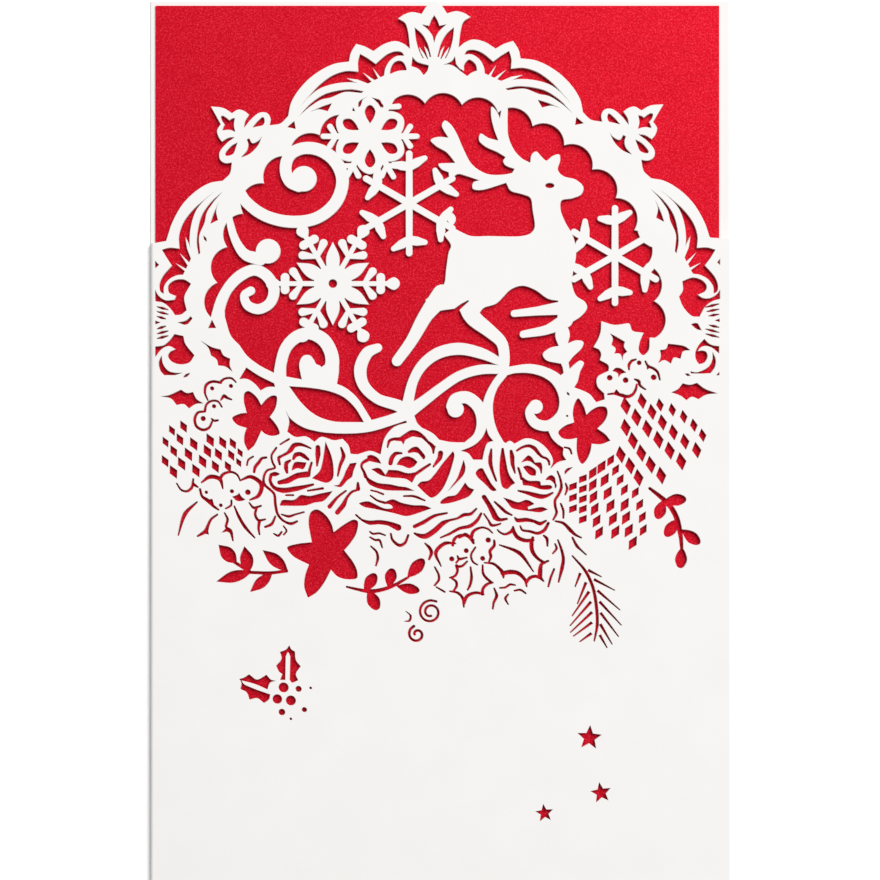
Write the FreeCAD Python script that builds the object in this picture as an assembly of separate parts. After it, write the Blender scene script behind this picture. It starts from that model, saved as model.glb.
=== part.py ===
"""Laser cut greeting card: one folded sheet of white card and a red insert.

The card lies closed on its back. X runs from the fold (left) to the open edge, Y from the
bottom to the top, Z from the back leaf up to the pierced front leaf. The origin is under the
middle of the card.

The front leaf is drawn on a board of 120 x 185 mm with its middle at (0, 0) and is stretched
to the size of the card. In every outline C(x, y) is a sharp corner and a plain pair is a point
on a smooth stretch.
"""
import FreeCAD, Part
import os
from math import atan2, ceil, cos, degrees, hypot, pi, radians, sin

# --- driving dimensions (mm) --------------------------------------------------------------
CARD_WIDTH = 120.0          # fold to open edge
CARD_HEIGHT = 185.0         # bottom to top
COVER_PAPER = 0.3           # white card stock
INSERT_PAPER = 0.3          # red shimmer card
LEAF_GAP = 0.6              # air between the insert and the front leaf
INSERT_LEFT = 1.0           # back leaf that shows beside the insert
INSERT_RIGHT = 2.1
INSERT_TOP = 1.0
INSERT_BOTTOM = 1.0
FACET_SAG = 0.235           # how far a straight facet may stray from its curve

# --- the drawing board ---------------------------------------------------------------------
BOARD_WIDTH = 120.0
BOARD_HEIGHT = 185.0
SHOULDER_LEFT = 42.2        # where the front leaf steps down beside the medallion
SHOULDER_RIGHT = 43.1
SPAN_STEPS = 6              # points worked out between two drawn ones
SHORTEST_FACET = 0.03

# --- the medallion -------------------------------------------------------------------------
HUB = (-1.2, 25.4)          # its centre
BOW_ANGLE = 44.3            # direction of the bows, up from the horizontal
SIDE_SWELL = 0.04           # how much wider the medallion is at the side than at the top
LEFT_REACH = 57.8           # from the middle to the fold
LEFT_INSET = 1.8            # how much nearer the middle the drawing lies beside the fold than opposite
LEFT_DROP = 0.8             # how much lower it lies halfway there
LOBE_PITCH = 9.6            # the scallops of its inner edge
LOBE_START = 82.8
LOBE_FIRST = -9
LOBE_COUNT = 19
CUSP_RADIUS = 45.8
LOBE_RISE = 2.3


# --- points --------------------------------------------------------------------------------
def C(x, y):
    """A sharp corner of an outline."""
    return (x, y, True)


def at_polar(centre, radius, angle):
    return (centre[0] + radius * cos(radians(angle)), centre[1] + radius * sin(radians(angle)))


def polar(centre, point):
    dx = point[0] - centre[0]
    dy = point[1] - centre[1]
    return hypot(dx, dy), degrees(atan2(dy, dx))


def moved_to(point, place):
    """The point at a new place, still a corner if it was one."""
    return (*place, *point[2:])


def placed(points, origin, heading):
    """Points drawn along +X from (0, 0), put at the origin and turned to the heading."""
    c = cos(radians(heading))
    s = sin(radians(heading))
    return [moved_to(p, (origin[0] + c * p[0] - s * p[1], origin[1] + s * p[0] + c * p[1])) for p in points]


def mirrored(points, axis=HUB[0]):
    return [moved_to(p, (2 * axis - p[0], p[1])) for p in reversed(points)]


def to_side(points):
    """An outline of the medallion's top, carried over the bow to its side."""
    reach = 90 - BOW_ANGLE
    out = []
    for p in reversed(points):
        radius, angle = polar(HUB, p)
        share = (90 - angle) / reach
        out.append(moved_to(p, at_polar(HUB, radius * (1 + SIDE_SWELL * (1 - share)), share * BOW_ANGLE)))
    return out


def left_half(points):
    """The mirror image at the side of the fold, a little narrower and lower than the original."""
    out = []
    for p in mirrored(points):
        share = min(1.0, max(0.0, (HUB[0] - p[0]) / LEFT_REACH))
        drop = LEFT_DROP * sin(pi * share)
        out.append(moved_to(p, (p[0] + LEFT_INSET * share ** 2, p[1] - drop)))
    return out


def both(points):
    return [points, left_half(points)]


def all_four(points):
    return both(points) + both(to_side(points))


# --- curves --------------------------------------------------------------------------------
def cubic_spans(points):
    """A smooth curve from the second point to the last but one, through those between."""
    out = [points[1]]
    for p0, p1, p2, p3 in zip(points, points[1:], points[2:], points[3:]):
        before, here, after = [max(1e-6, hypot(b[0] - a[0], b[1] - a[1]) ** 0.5)
                               for a, b in ((p0, p1), (p1, p2), (p2, p3))]
        leave = [p2[i] - p1[i] + here * ((p1[i] - p0[i]) / before - (p2[i] - p0[i]) / (before + here))
                 for i in (0, 1)]
        arrive = [p2[i] - p1[i] + here * ((p3[i] - p2[i]) / after - (p3[i] - p1[i]) / (here + after))
                  for i in (0, 1)]
        for step in range(1, SPAN_STEPS + 1):
            t = step / SPAN_STEPS
            out.append(tuple((2 * t ** 3 - 3 * t ** 2 + 1) * p1[i] + (t ** 3 - 2 * t ** 2 + t) * leave[i]
                             + (3 * t ** 2 - 2 * t ** 3) * p2[i] + (t ** 3 - t ** 2) * arrive[i]
                             for i in (0, 1)))
    return out


def curve(points):
    """A smooth open curve through the points."""
    flat = [tuple(p[:2]) for p in points]
    if len(flat) < 3:
        return flat
    lead = tuple(2 * a - b for a, b in zip(flat[0], flat[1]))
    trail = tuple(2 * a - b for a, b in zip(flat[-1], flat[-2]))
    return cubic_spans([lead, *flat, trail])


def path(points):
    """An open outline: smooth between its corners."""
    stops = [i for i, p in enumerate(points) if len(p) > 2 or i in (0, len(points) - 1)]
    out = []
    for a, b in zip(stops, stops[1:]):
        out += curve(points[a:b + 1])[:-1]
    return out + [tuple(points[-1][:2])]


def loop(points):
    """A closed outline: smooth between its corners, or all round where it has none."""
    corners = [i for i, p in enumerate(points) if len(p) > 2]
    if not corners:
        flat = [tuple(p[:2]) for p in points]
        return cubic_spans([flat[-1], *flat, flat[0], flat[1]])[:-1]
    first = corners[0]
    return path(points[first:] + points[:first] + [points[first]])[:-1]


def sides_of(line, widths):
    """The two edges of a ribbon along a line."""
    left = []
    right = []
    for k, ((x, y), width) in enumerate(zip(line, widths)):
        ax, ay = line[max(k - 1, 0)]
        bx, by = line[min(k + 1, len(line) - 1)]
        length = max(1e-9, hypot(bx - ax, by - ay))
        nx = -(by - ay) / length * width / 2
        ny = (bx - ax) / length * width / 2
        left.append((x + nx, y + ny))
        right.append((x - nx, y - ny))
    return left, right


def stroke(points, widths):
    """A ribbon along a smooth line with round ends, one width for each point or one for all."""
    if isinstance(widths, float):
        widths = [widths] * len(points)
    line = curve(points)
    steps = (len(line) - 1) / (len(points) - 1)
    breadths = []
    for k in range(len(line)):
        i = min(int(k / steps), len(points) - 2)
        breadths.append(widths[i] + (widths[i + 1] - widths[i]) * (k / steps - i))
    left, right = sides_of(line, breadths)
    caps = []
    for tip, inner, breadth in ((line[-1], line[-2], breadths[-1]), (line[0], line[1], breadths[0])):
        heading = polar(inner, tip)[1]
        caps.append([at_polar(tip, breadth / 2, heading + turn) for turn in (40, -40)])
    return left + caps[0] + right[::-1] + caps[1]


def slit(width, *points):
    """A pen stroke cut out: widest in the middle."""
    if len(points) == 2:
        points = (points[0], tuple((a + b) / 2 for a, b in zip(*points)), points[1])
    last = len(points) - 1
    return stroke(list(points), [width * (0.45 + 0.55 * sin(pi * k / last)) for k in range(last + 1)])


# --- simple shapes -------------------------------------------------------------------------
def disc(centre, radius):
    sides = max(6, ceil(pi / (2 * FACET_SAG / radius) ** 0.5))
    return [at_polar(centre, radius, 360 * k / sides) for k in range(sides)]


def oval(centre, half_width, half_height):
    return [(centre[0] + half_width * cos(pi * k / 5), centre[1] + half_height * sin(pi * k / 5))
            for k in range(10)]


def star(centre, radius, angle):
    """A five pointed star."""
    return [at_polar(centre, radius * (0.45 if k % 2 else 1.0), angle + 36 * k) for k in range(10)]


def petal(root, tip, width, fullest=0.6):
    """Pointed at the root, blunt at the tip."""
    length, heading = polar(root, tip)
    half = width / 2
    upper = [(fullest * length / 2, half * 0.72), (fullest * length, half), (0.93 * length, half * 0.52)]
    lower = [(x, -y) for x, y in reversed(upper)]
    return loop(placed([C(0, 0), *upper, (length, 0), *lower], root, heading))


def leaf(root, tip, width):
    """Pointed at both ends."""
    length, heading = polar(root, tip)
    half = width / 2
    upper = [(0.3 * length, half * 0.85), (0.6 * length, half * 0.95)]
    lower = [(x, -y) for x, y in reversed(upper)]
    return loop(placed([C(0, 0), *upper, C(length, 0), *lower], root, heading))


def holly(root, tip, width, spines=2):
    """A holly leaf: hollow edges between pointed spines."""
    length, heading = polar(root, tip)
    half = [(length * k / (spines + 1), width / 2 * sin(pi * k / (spines + 1)) ** 0.5)
            for k in range(spines + 2)]
    upper = []
    for (ax, ay), (bx, by) in zip(half, half[1:]):
        upper += [C(ax, ay), ((ax + bx) / 2, (ay + by) * 0.27)]
    lower = [moved_to(p, (p[0], -p[1])) for p in reversed(upper[1:])]
    return loop(placed([*upper, C(length, 0), *lower], root, heading))


def flower(centre, valley, width, petals):
    """One outline of five pointed petals, each given by its angle and length."""
    out = []
    for k, (angle, length) in enumerate(petals):
        before = petals[k - 1][0] + (360 if k == 0 else 0)
        out.append(C(*at_polar(centre, valley, (angle + before) / 2)))
        side = [(0.52 * length, width / 2), (0.84 * length, width * 0.28)]
        out += placed([*side, (length, 0), *[(x, -y) for x, y in reversed(side)]], centre, angle)
    return loop(out)


def strand(start, heading, turn, count, pitch, wide, tall):
    """A row of lozenges along a gently turning line, each with the two given half diagonals."""
    out = []
    x, y = start
    for k in range(count):
        out.append([(x - wide[0], y - wide[1]), (x - tall[0], y - tall[1]), (x + wide[0], y + wide[1]),
                    (x + tall[0], y + tall[1])])
        x, y = at_polar((x, y), pitch, heading + turn * k)
    return out


# --- front leaf: the outline -----------------------------------------------------------------
CREST = [C(-1.2, 92.5), (0.3, 91.3), C(1.4, 89.7), (3.4, 90.15), (5.0, 89.75), C(6.3, 89.0), (4.8, 88.0),
         (4.2, 86.2), C(3.8, 82.6)]
WAVE = [(5.2, 83.7), (6.9, 84.3), (9.2, 83.8), C(11.5, 82.4)]
LEAF_TIP = [(13.3, 83.4), C(15.1, 84.0), (16.2, 82.2), C(16.6, 80.4)]
SHELL = [(20.0, 79.9), (24.0, 77.8), (27.0, 75.0), (28.9, 72.0), C(29.5, 69.3), (31.2, 67.7), C(33.6, 67.3)]
BOW = [(33.4, 68.7), (34.1, 69.8), (35.6, 69.9), (37.5, 68.5), C(39.1, 66.6), (38.9, 68.0), C(38.0, 69.4),
       (39.0, 70.1), (40.3, 70.4), C(41.7, 69.6), (43.5, 70.6), C(46.2, 70.9)]
SHELL_FOOT = C(56.1, 42.4)      # where the last shell meets the panel
PANEL_CORNER = (50.0, 36.0)     # inside the panel, where the medallion's outline ends


def panel_outline():
    """The plain lower part of the front leaf, from the end of the bend and up to its shoulders."""
    half_width = BOARD_WIDTH / 2
    half_height = BOARD_HEIGHT / 2
    bend_end = levels()[3] / 2 * BOARD_WIDTH / CARD_WIDTH - half_width
    return [(bend_end, -half_height), (half_width, -half_height), (half_width, SHOULDER_RIGHT),
            (half_width - 4.2, SHOULDER_RIGHT + 0.2), (3.4 - half_width, SHOULDER_LEFT + 0.4),
            (bend_end, SHOULDER_LEFT)]


def medallion_outline():
    """Crest, waves, shells and bows, worked out once and mirrored."""
    side = to_side(SHELL + BOW)[1:]
    half = path(CREST + WAVE + LEAF_TIP + SHELL + BOW + side + [SHELL_FOOT, PANEL_CORNER])
    return half + left_half(half)[:-1]


# --- front leaf: holes of the medallion --------------------------------------------------------
def crescent_hole():
    return loop([C(5.0, 81.2), (5.5, 82.0), (6.8, 82.25), (8.6, 81.7), C(11.0, 79.8), (12.6, 81.0),
                 C(14.3, 82.0), (14.8, 80.3), C(14.7, 78.3), (17.2, 78.5), (20.0, 77.7), (22.8, 75.8),
                 (25.0, 73.6), C(27.2, 71.0), (25.3, 73.0), (23.0, 74.8), (20.0, 75.8), (16.5, 76.1),
                 C(12.9, 75.6), C(9.2, 77.3), (9.0, 78.6), (8.1, 80.2), (6.6, 81.2)])


def crescent_spikes():
    """Thin points of card that stand in the crescent hole."""
    return [[(9.8, 76.6), (10.3, 76.4), (11.6, 79.0)], [(11.0, 76.2), (11.6, 75.9), (13.7, 78.1)],
            [(12.4, 75.6), (13.2, 75.2), (15.2, 76.1), (17.1, 77.0), (14.8, 76.6)]]


def stream_hole():
    return loop([C(13.5, 74.2), (16.0, 74.7), (19.0, 74.5), (22.0, 73.7), (25.0, 71.7), C(27.4, 69.1),
                 (25.0, 71.1), (22.5, 72.6), (20.5, 73.0), (17.5, 74.1), C(14.0, 73.8)])


def comet_hole():
    return loop([C(20.2, 71.9), (22.5, 71.2), C(25.0, 70.1), (23.0, 70.6), C(21.1, 70.2)])


def arch_hole():
    return loop([C(8.1, 77.5), (7.9, 78.8), (7.2, 79.9), (6.1, 80.3), (5.2, 79.9), (4.6, 78.8),
                 C(4.5, 78.2), (6.3, 78.1)])


def crest_holes():
    flame = [C(-1.2, 89.4), (-0.5, 88.3), C(-0.1, 87.2), C(1.4, 87.5), (0.3, 86.5), (-0.7, 85.2),
             C(-1.2, 83.6)]
    side = loop([C(2.9, 86.9), (1.3, 85.5), (0.1, 83.4), C(-0.6, 80.7), C(-0.2, 80.7), (0.2, 82.0),
                 C(0.9, 83.0), (0.5, 81.8), C(0.0, 80.2), C(0.3, 80.3), (1.0, 81.5), C(1.9, 82.8),
                 (1.5, 81.6), C(0.9, 80.4), C(1.3, 80.5), (2.1, 82.2), (2.7, 84.5)])
    wedge = loop([C(-5.7, 80.8), (-4.8, 79.8), C(-2.3, 79.0), (-2.6, 77.8), C(-3.4, 76.9), (-4.5, 78.2),
                  C(-6.0, 78.8)])
    right_wedge = loop([C(3.1, 80.9), (2.4, 79.9), C(0.6, 79.1), (2.0, 79.1), (3.0, 78.7), (4.0, 77.9),
                        C(5.6, 76.7), (6.5, 77.4), C(7.7, 77.9), (7.4, 79.2), (6.0, 80.2), (4.9, 79.0),
                        C(4.95, 77.9), (4.1, 78.4), C(3.35, 79.3)])
    return [loop(flame + mirrored(flame)[1:-1]), side, mirrored(side), wedge, right_wedge]


def bow_holes():
    knot_star = loop([C(41.0, 68.7), (41.6, 68.6), C(42.2, 68.2), (42.9, 68.75), (43.6, 69.1), (44.1, 68.9),
                      (43.9, 68.0), C(43.3, 67.2), (43.6, 66.7), C(43.8, 66.0), (42.3, 66.15),
                      C(40.9, 65.8), (41.2, 67.2)])
    upper_ribbon = loop([C(37.35, 66.75), (36.2, 67.0), (34.9, 67.35), (34.55, 68.3), (34.9, 69.05),
                         (36.0, 68.3)])
    lower_ribbon = loop([C(40.4, 63.7), (41.8, 62.9), (43.2, 61.2), (43.0, 60.75), (41.4, 61.2),
                         (40.8, 62.5)])
    under = loop([C(35.1, 65.1), (36.0, 64.1), (37.2, 63.6), C(37.9, 64.6), C(38.5, 64.3), (38.2, 63.2),
                  (38.5, 62.0), C(39.8, 60.5), (37.8, 61.3), (36.0, 63.1)])
    chip = [(28.2, 68.3), (29.8, 67.0), (27.9, 66.6)]
    return both(knot_star) + both(upper_ribbon) + both(lower_ribbon) + both(under) + both(chip)


def left_curl_holes():
    """The curls beside the fold."""
    upper = loop([C(-51.5, 33.8), (-53.0, 34.7), (-55.0, 34.5), (-56.3, 33.4), (-56.2, 31.9),
                  C(-54.7, 31.2), C(-55.0, 30.5), (-56.8, 30.4), (-58.2, 31.3), C(-59.0, 32.7),
                  C(-59.0, 30.1), (-57.4, 29.8), (-56.0, 28.7), C(-54.9, 27.2), (-53.5, 27.4),
                  C(-52.4, 28.3), (-52.9, 31.0)])
    lower = loop([C(-55.0, 23.4), C(-53.1, 23.0), (-52.7, 21.4), C(-50.8, 19.0), (-51.8, 17.5),
                  (-53.6, 17.0), (-55.6, 17.6), (-56.4, 18.8), (-55.9, 19.7), C(-54.8, 20.2),
                  (-56.2, 20.8), (-57.6, 20.2), C(-59.0, 18.5), C(-59.0, 20.8), (-57.2, 21.1),
                  (-55.9, 22.2)])
    crescent = loop([C(-57.6, 19.0), (-58.3, 17.5), (-58.0, 15.8), C(-57.2, 14.8), C(-56.0, 14.8),
                     (-54.8, 14.8), C(-53.2, 15.4), (-54.8, 15.4), (-56.2, 15.8), (-57.3, 17.2)])
    wedge = loop([C(-54.4, 25.8), (-52.6, 26.2), C(-51.6, 27.1), C(-51.2, 26.6), (-52.2, 25.4),
                  C(-53.0, 25.2)])
    return [upper, lower, crescent, wedge]


def right_curl_holes():
    """Their partners at the open edge, which are rounder."""
    upper = loop([C(50.1, 34.3), (52.3, 35.1), (54.3, 34.5), (55.2, 33.4), (54.9, 32.2), C(53.4, 31.5),
                  (54.3, 30.9), (55.7, 30.8), (57.2, 31.6), C(58.0, 32.6), C(58.0, 30.6), (56.4, 30.1),
                  (55.0, 29.1), C(53.7, 26.9), (52.2, 27.0), (50.3, 28.9), C(49.4, 31.1), (50.2, 32.4)])
    swirl = loop([C(54.7, 22.4), (53.5, 21.1), (52.8, 19.6), (52.9, 18.1), C(53.6, 17.05), (54.7, 17.4),
                  (55.4, 18.7), (55.1, 19.7), (54.3, 20.0), C(53.4, 19.85), (53.9, 20.5), (54.9, 20.85),
                  (56.2, 20.5), C(57.8, 19.3), C(57.8, 20.9), (56.4, 21.1), (55.5, 21.6)])
    crescent = loop([C(56.4, 19.8), (57.1, 18.1), (56.9, 16.5), C(56.0, 15.2), (54.3, 15.1),
                     C(51.9, 15.15), C(51.8, 15.7), (53.0, 15.5), (54.4, 15.9), (55.7, 16.8),
                     (56.3, 18.1)])
    wedge = loop([C(51.9, 25.4), (52.7, 25.7), C(53.4, 25.6), C(54.2, 24.1), (53.1, 24.3)])
    return [upper, swirl, crescent, wedge]


def medallion_holes():
    holes = all_four(crescent_hole()) + all_four(stream_hole()) + all_four(comet_hole())
    holes += [left_half(arch_hole())] + crest_holes() + bow_holes()
    return holes + left_curl_holes() + right_curl_holes()


# --- front leaf: the window ---------------------------------------------------------------------
FLORAL_EDGE = [C(-44.6, 26.9), (-43.4, 23.0), C(-41.6, 21.0), (-40.0, 18.8), (-37.4, 16.8), C(-34.2, 15.2),
               C(-31.9, 14.5), C(-27.7, 13.8), C(-23.7, 13.6), (-20.0, 12.4), (-17.3, 10.2), C(-14.2, 5.5),
               (-11.0, 6.4), C(-8.3, 7.4), C(-5.4, 6.5), (-4.8, 4.9), C(-3.8, 3.9), (-1.5, 2.7), C(-0.2, 1.4),
               (2.5, 0.9), C(6.0, 0.9), C(9.4, 3.2), C(11.4, 2.0), C(13.6, 0.7), (14.4, 1.2), C(15.4, 0.6),
               (17.8, 1.7), (20.0, 1.2), (22.2, -0.6), (23.3, -2.8), C(22.8, -4.6), (24.3, -3.3),
               C(26.2, -2.7), (25.5, -1.6), C(25.6, -0.2), (24.4, 0.6), (23.2, 1.8), C(22.4, 3.4),
               C(24.4, 4.4), (25.9, 6.8), (26.2, 10.0), (25.4, 12.5), C(24.3, 14.2), C(25.6, 15.3),
               (25.4, 16.5), C(24.9, 17.6), C(26.5, 17.6), C(26.8, 16.1), (27.9, 17.1), (29.0, 17.8),
               (29.7, 17.4), (28.9, 15.5), (28.4, 13.5), C(27.7, 12.3), (29.5, 11.6), (31.0, 10.8),
               C(32.3, 9.2), C(34.1, 9.8), C(34.0, 11.1), (32.6, 12.6), (32.6, 14.4), C(34.9, 15.7),
               (34.9, 16.9), C(33.1, 18.0), (33.4, 19.2), (32.9, 20.2), C(31.8, 20.7), (32.7, 22.2),
               (33.3, 24.0), C(33.4, 26.0), (36.0, 25.2), C(39.2, 25.6), (39.8, 24.0), C(42.1, 23.6),
               (41.3, 21.8), (41.1, 19.9), (42.0, 18.9), (43.2, 20.0), C(43.4, 22.6)]


def scallops():
    """The window's lobed edge, from the lower right over the top to the lower left."""
    half_chord = CUSP_RADIUS * sin(radians(LOBE_PITCH / 2))
    lobe_radius = (half_chord ** 2 + LOBE_RISE ** 2) / (2 * LOBE_RISE)
    lobe_centre = CUSP_RADIUS * cos(radians(LOBE_PITCH / 2)) + LOBE_RISE - lobe_radius
    swing = degrees(atan2(half_chord, lobe_radius - LOBE_RISE))
    out = []
    for k in range(LOBE_COUNT):
        middle = LOBE_START + LOBE_PITCH * (LOBE_FIRST + k + 0.5)
        centre = at_polar(HUB, lobe_centre, middle)
        out += [at_polar(centre, lobe_radius, middle + swing * (step / 3 - 1)) for step in range(6)]
    return out + [at_polar(HUB, CUSP_RADIUS, LOBE_START + LOBE_PITCH * (LOBE_FIRST + LOBE_COUNT))]


def window_outline():
    lobes = scallops()
    return lobes + path([C(*lobes[-1]), *FLORAL_EDGE])[1:]


# --- front leaf: what hangs in the window ---------------------------------------------------------
def looped_snowflake(centre):
    """Six looped petals with forked arms between; returns its card and its holes."""
    card = [disc(centre, 3.4)]
    holes = []
    for k in range(6):
        up = 90 + 60 * k
        card.append(petal(at_polar(centre, 0.2, up), at_polar(centre, 7.8, up), 5.4, 0.7))
        holes.append(petal(at_polar(centre, 2.6, up), at_polar(centre, 6.4, up), 2.1, 0.66))
        card.append(stroke([at_polar(centre, 3.0, up + 30), at_polar(centre, 9.7, up + 30)], [1.5, 1.0]))
        fork = at_polar(centre, 7.0, up + 30)
        card += [stroke([fork, at_polar(fork, 2.4, up + 30 + turn)], [0.9, 1.1]) for turn in (57, -57)]
    return card, holes


def barbed_snowflake(centre, size):
    """Six straight arms, each with a leaning barb on one side and an upright one on the other."""
    card = [disc(centre, 1.4 * size)]
    for k in range(6):
        up = 90 + 60 * k
        card.append(stroke([centre, at_polar(centre, 10.3 * size, up)], [1.35, 1.25]))
        root = at_polar(centre, 7.6 * size, up)
        for barb, turn in ((3.7 * size, -61), (3.3 * size, 82)):
            card.append(stroke([root, at_polar(root, barb / 2, up + turn), at_polar(root, barb, up + turn)],
                               [1.8, 1.8, 1.0]))
    return card


def star_snowflake(centre):
    """Six pointed petals round an eye, with branching ball-ended arms between."""
    card = [disc(centre, 3.9)]
    for k in range(6):
        up = 90 + 60 * k
        card.append(leaf(at_polar(centre, 1.0, up), at_polar(centre, 8.6, up), 3.0))
        arm = up + 30
        card.append(stroke([centre, at_polar(centre, 12.0, arm)], [1.0, 0.9]))
        card.append(petal(at_polar(centre, 10.7, arm), at_polar(centre, 13.8, arm), 2.5, 0.66))
        bar = at_polar(centre, 9.9, arm)
        ends = [at_polar(bar, 1.3, arm + 90), bar, at_polar(bar, 1.3, arm - 90)]
        card.append(stroke(ends, [1.7, 1.6, 1.7]))
        branch = at_polar(centre, 6.4, arm)
        card += [stroke([branch, at_polar(branch, 3.3, arm + turn)], [0.7, 1.7]) for turn in (62, -62)]
    return card, [disc(centre, 0.95)]


def scrolls():
    """The scrollwork under and beside the snowflakes: ribbons that end in balls."""
    upper = stroke([(-42.6, 54.5), (-40.4, 51.0), (-36.5, 48.0), (-31.0, 46.6), (-25.5, 47.4), (-21.6, 50.6),
                    (-20.2, 55.2), (-21.6, 59.0), (-24.8, 61.4), (-28.4, 61.8), (-31.2, 60.3), (-32.0, 57.3),
                    (-31.0, 54.9), (-29.2, 54.1)],
                   [2.6, 2.2, 2.3, 2.4, 2.4, 2.5, 2.5, 2.6, 2.5, 2.4, 2.4, 2.3, 2.4, 2.6])
    tail = stroke([(-44.2, 51.0), (-43.6, 46.8), (-42.3, 42.6), (-40.3, 39.8), (-37.2, 38.9)],
                  [1.8, 1.3, 1.6, 2.1, 2.6])
    large = stroke([(-46.0, 24.0), (-45.8, 28.4), (-44.2, 32.4), (-41.4, 35.4), (-38.4, 36.6), (-35.9, 35.4),
                    (-34.4, 32.6), (-35.2, 29.8), (-37.6, 28.5), (-39.9, 29.4), (-40.5, 31.4), (-39.2, 32.3)],
                   [3.6, 2.3, 2.1, 2.3, 2.2, 2.2, 2.2, 2.1, 2.0, 1.8, 1.6, 1.7])
    arch = stroke([(-33.2, 12.0), (-33.0, 17.0), (-31.8, 20.7), (-29.6, 22.8), (-27.0, 23.5), (-24.2, 22.2),
                   (-22.6, 19.5), (-22.4, 16.8), (-24.0, 13.4)],
                  [2.8, 2.2, 2.3, 2.5, 2.4, 2.6, 2.6, 2.8, 5.6])
    arch_foot = loop([C(-28.2, 12.6), (-28.8, 15.0), (-29.1, 17.3), (-28.3, 18.8), (-27.0, 18.9),
                      (-26.2, 18.0), (-25.7, 17.1), (-25.0, 16.8), C(-23.0, 15.0), C(-23.0, 12.6)])
    hook = stroke([(-12.9, 20.5), (-15.0, 19.5), (-16.5, 16.2), (-15.9, 12.9), (-13.0, 10.0), (-8.4, 8.4),
                   (-6.6, 6.9)], [1.7, 2.3, 2.5, 2.2, 2.0, 2.3, 2.4])
    high_sweep = stroke([(12.9, 17.4), (8.4, 19.4), (3.8, 20.3), (-0.4, 19.4), (-3.6, 17.0), (-5.6, 13.6),
                         (-6.9, 8.0)], [1.4, 2.2, 2.4, 2.3, 2.1, 1.9, 2.3])
    low_sweep = stroke([(13.0, 16.0), (8.4, 16.0), (4.0, 14.7), (0.2, 12.2), (-3.2, 9.6), (-6.8, 7.0)],
                       [1.7, 1.9, 1.9, 1.9, 2.1, 2.6])
    small_curl = stroke([(5.2, -0.4), (7.9, 2.0), (8.8, 5.0), (8.0, 8.2), (5.6, 10.2), (3.2, 9.8),
                         (2.5, 8.4)], [2.2, 2.2, 2.4, 2.4, 2.4, 2.4, 2.4])
    riser = stroke([(13.2, 15.3), (11.2, 12.6), (10.0, 9.5), (9.9, 6.2), (10.9, 3.0), (12.8, -0.4)],
                   [1.6, 1.5, 1.9, 2.2, 1.9, 1.9])
    round_curl = stroke([(12.8, 15.4), (15.4, 16.0), (18.6, 16.2), (21.8, 15.4), (24.4, 13.6), (25.9, 10.0),
                         (25.2, 6.6), (22.4, 4.4), (19.6, 5.0), (18.5, 7.2), (19.4, 8.6)],
                        [1.6, 1.4, 1.8, 2.0, 2.4, 2.4, 2.2, 2.1, 2.0, 1.7, 1.8])
    balls = [disc((-28.2, 55.5), 2.6), disc((-35.6, 40.5), 2.5), disc((3.2, 7.8), 1.65),
             disc((19.8, 8.3), 1.4)]
    return [upper, tail, large, arch, arch_foot, hook, high_sweep, low_sweep, small_curl, riser,
            round_curl, *balls]


def reindeer_body():
    return loop([(19.6, 45.4), (19.2, 49.0), (18.7, 51.6), (16.8, 52.4), (14.6, 53.1), C(13.7, 54.7),
                 C(15.5, 57.6), C(18.7, 58.8), (19.0, 60.5), (19.9, 61.1), (20.9, 60.1), (22.0, 59.2),
                 (23.2, 60.1), (24.6, 60.5), (24.8, 59.3), (24.3, 57.4), (25.5, 56.0), (28.0, 55.3),
                 (29.6, 53.8), (29.2, 52.3), (27.4, 51.5), (25.1, 51.0), (24.9, 49.0), (26.0, 46.2),
                 (27.4, 43.8), (28.1, 40.5), (27.8, 37.5), (27.2, 34.2), (28.1, 31.3), (29.9, 30.0),
                 (30.4, 28.9), (29.4, 27.3), C(26.2, 25.2), C(24.2, 24.3), C(24.5, 30.3), (22.4, 30.7),
                 (19.6, 32.6), (17.0, 33.4), (14.6, 32.6), (11.6, 29.7), (9.0, 28.8), C(8.0, 27.6),
                 C(4.6, 27.4), C(6.0, 30.3), (4.0, 28.9), (0.0, 28.2), C(-1.6, 27.4), C(-3.0, 30.4),
                 (-1.0, 32.1), (0.8, 33.6), (1.3, 36.8), (1.8, 40.2), (2.3, 41.7), C(0.8, 44.0),
                 C(2.6, 45.4), (4.4, 44.4), (6.4, 43.6), C(10.0, 43.6), (17.0, 43.6), (18.8, 44.2)])


def reindeer_legs():
    return [stroke([(0.5, 31.5), (-2.9, 27.3), (-6.0, 21.8), (-8.9, 17.8)], [4.2, 2.9, 2.3, 2.1]),
            stroke([(6.3, 29.0), (6.7, 27.0), (10.2, 24.0), (12.7, 21.6), (13.3, 18.8), (13.2, 16.2)],
                   [5.0, 3.3, 2.6, 2.2, 2.1, 2.0]),
            stroke([(25.6, 28.8), (20.0, 28.1), (15.3, 27.6)], [2.8, 1.7, 1.3]),
            stroke([(26.0, 26.2), (22.3, 24.3), (17.2, 23.3)], [2.9, 1.9, 1.4])]


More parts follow.
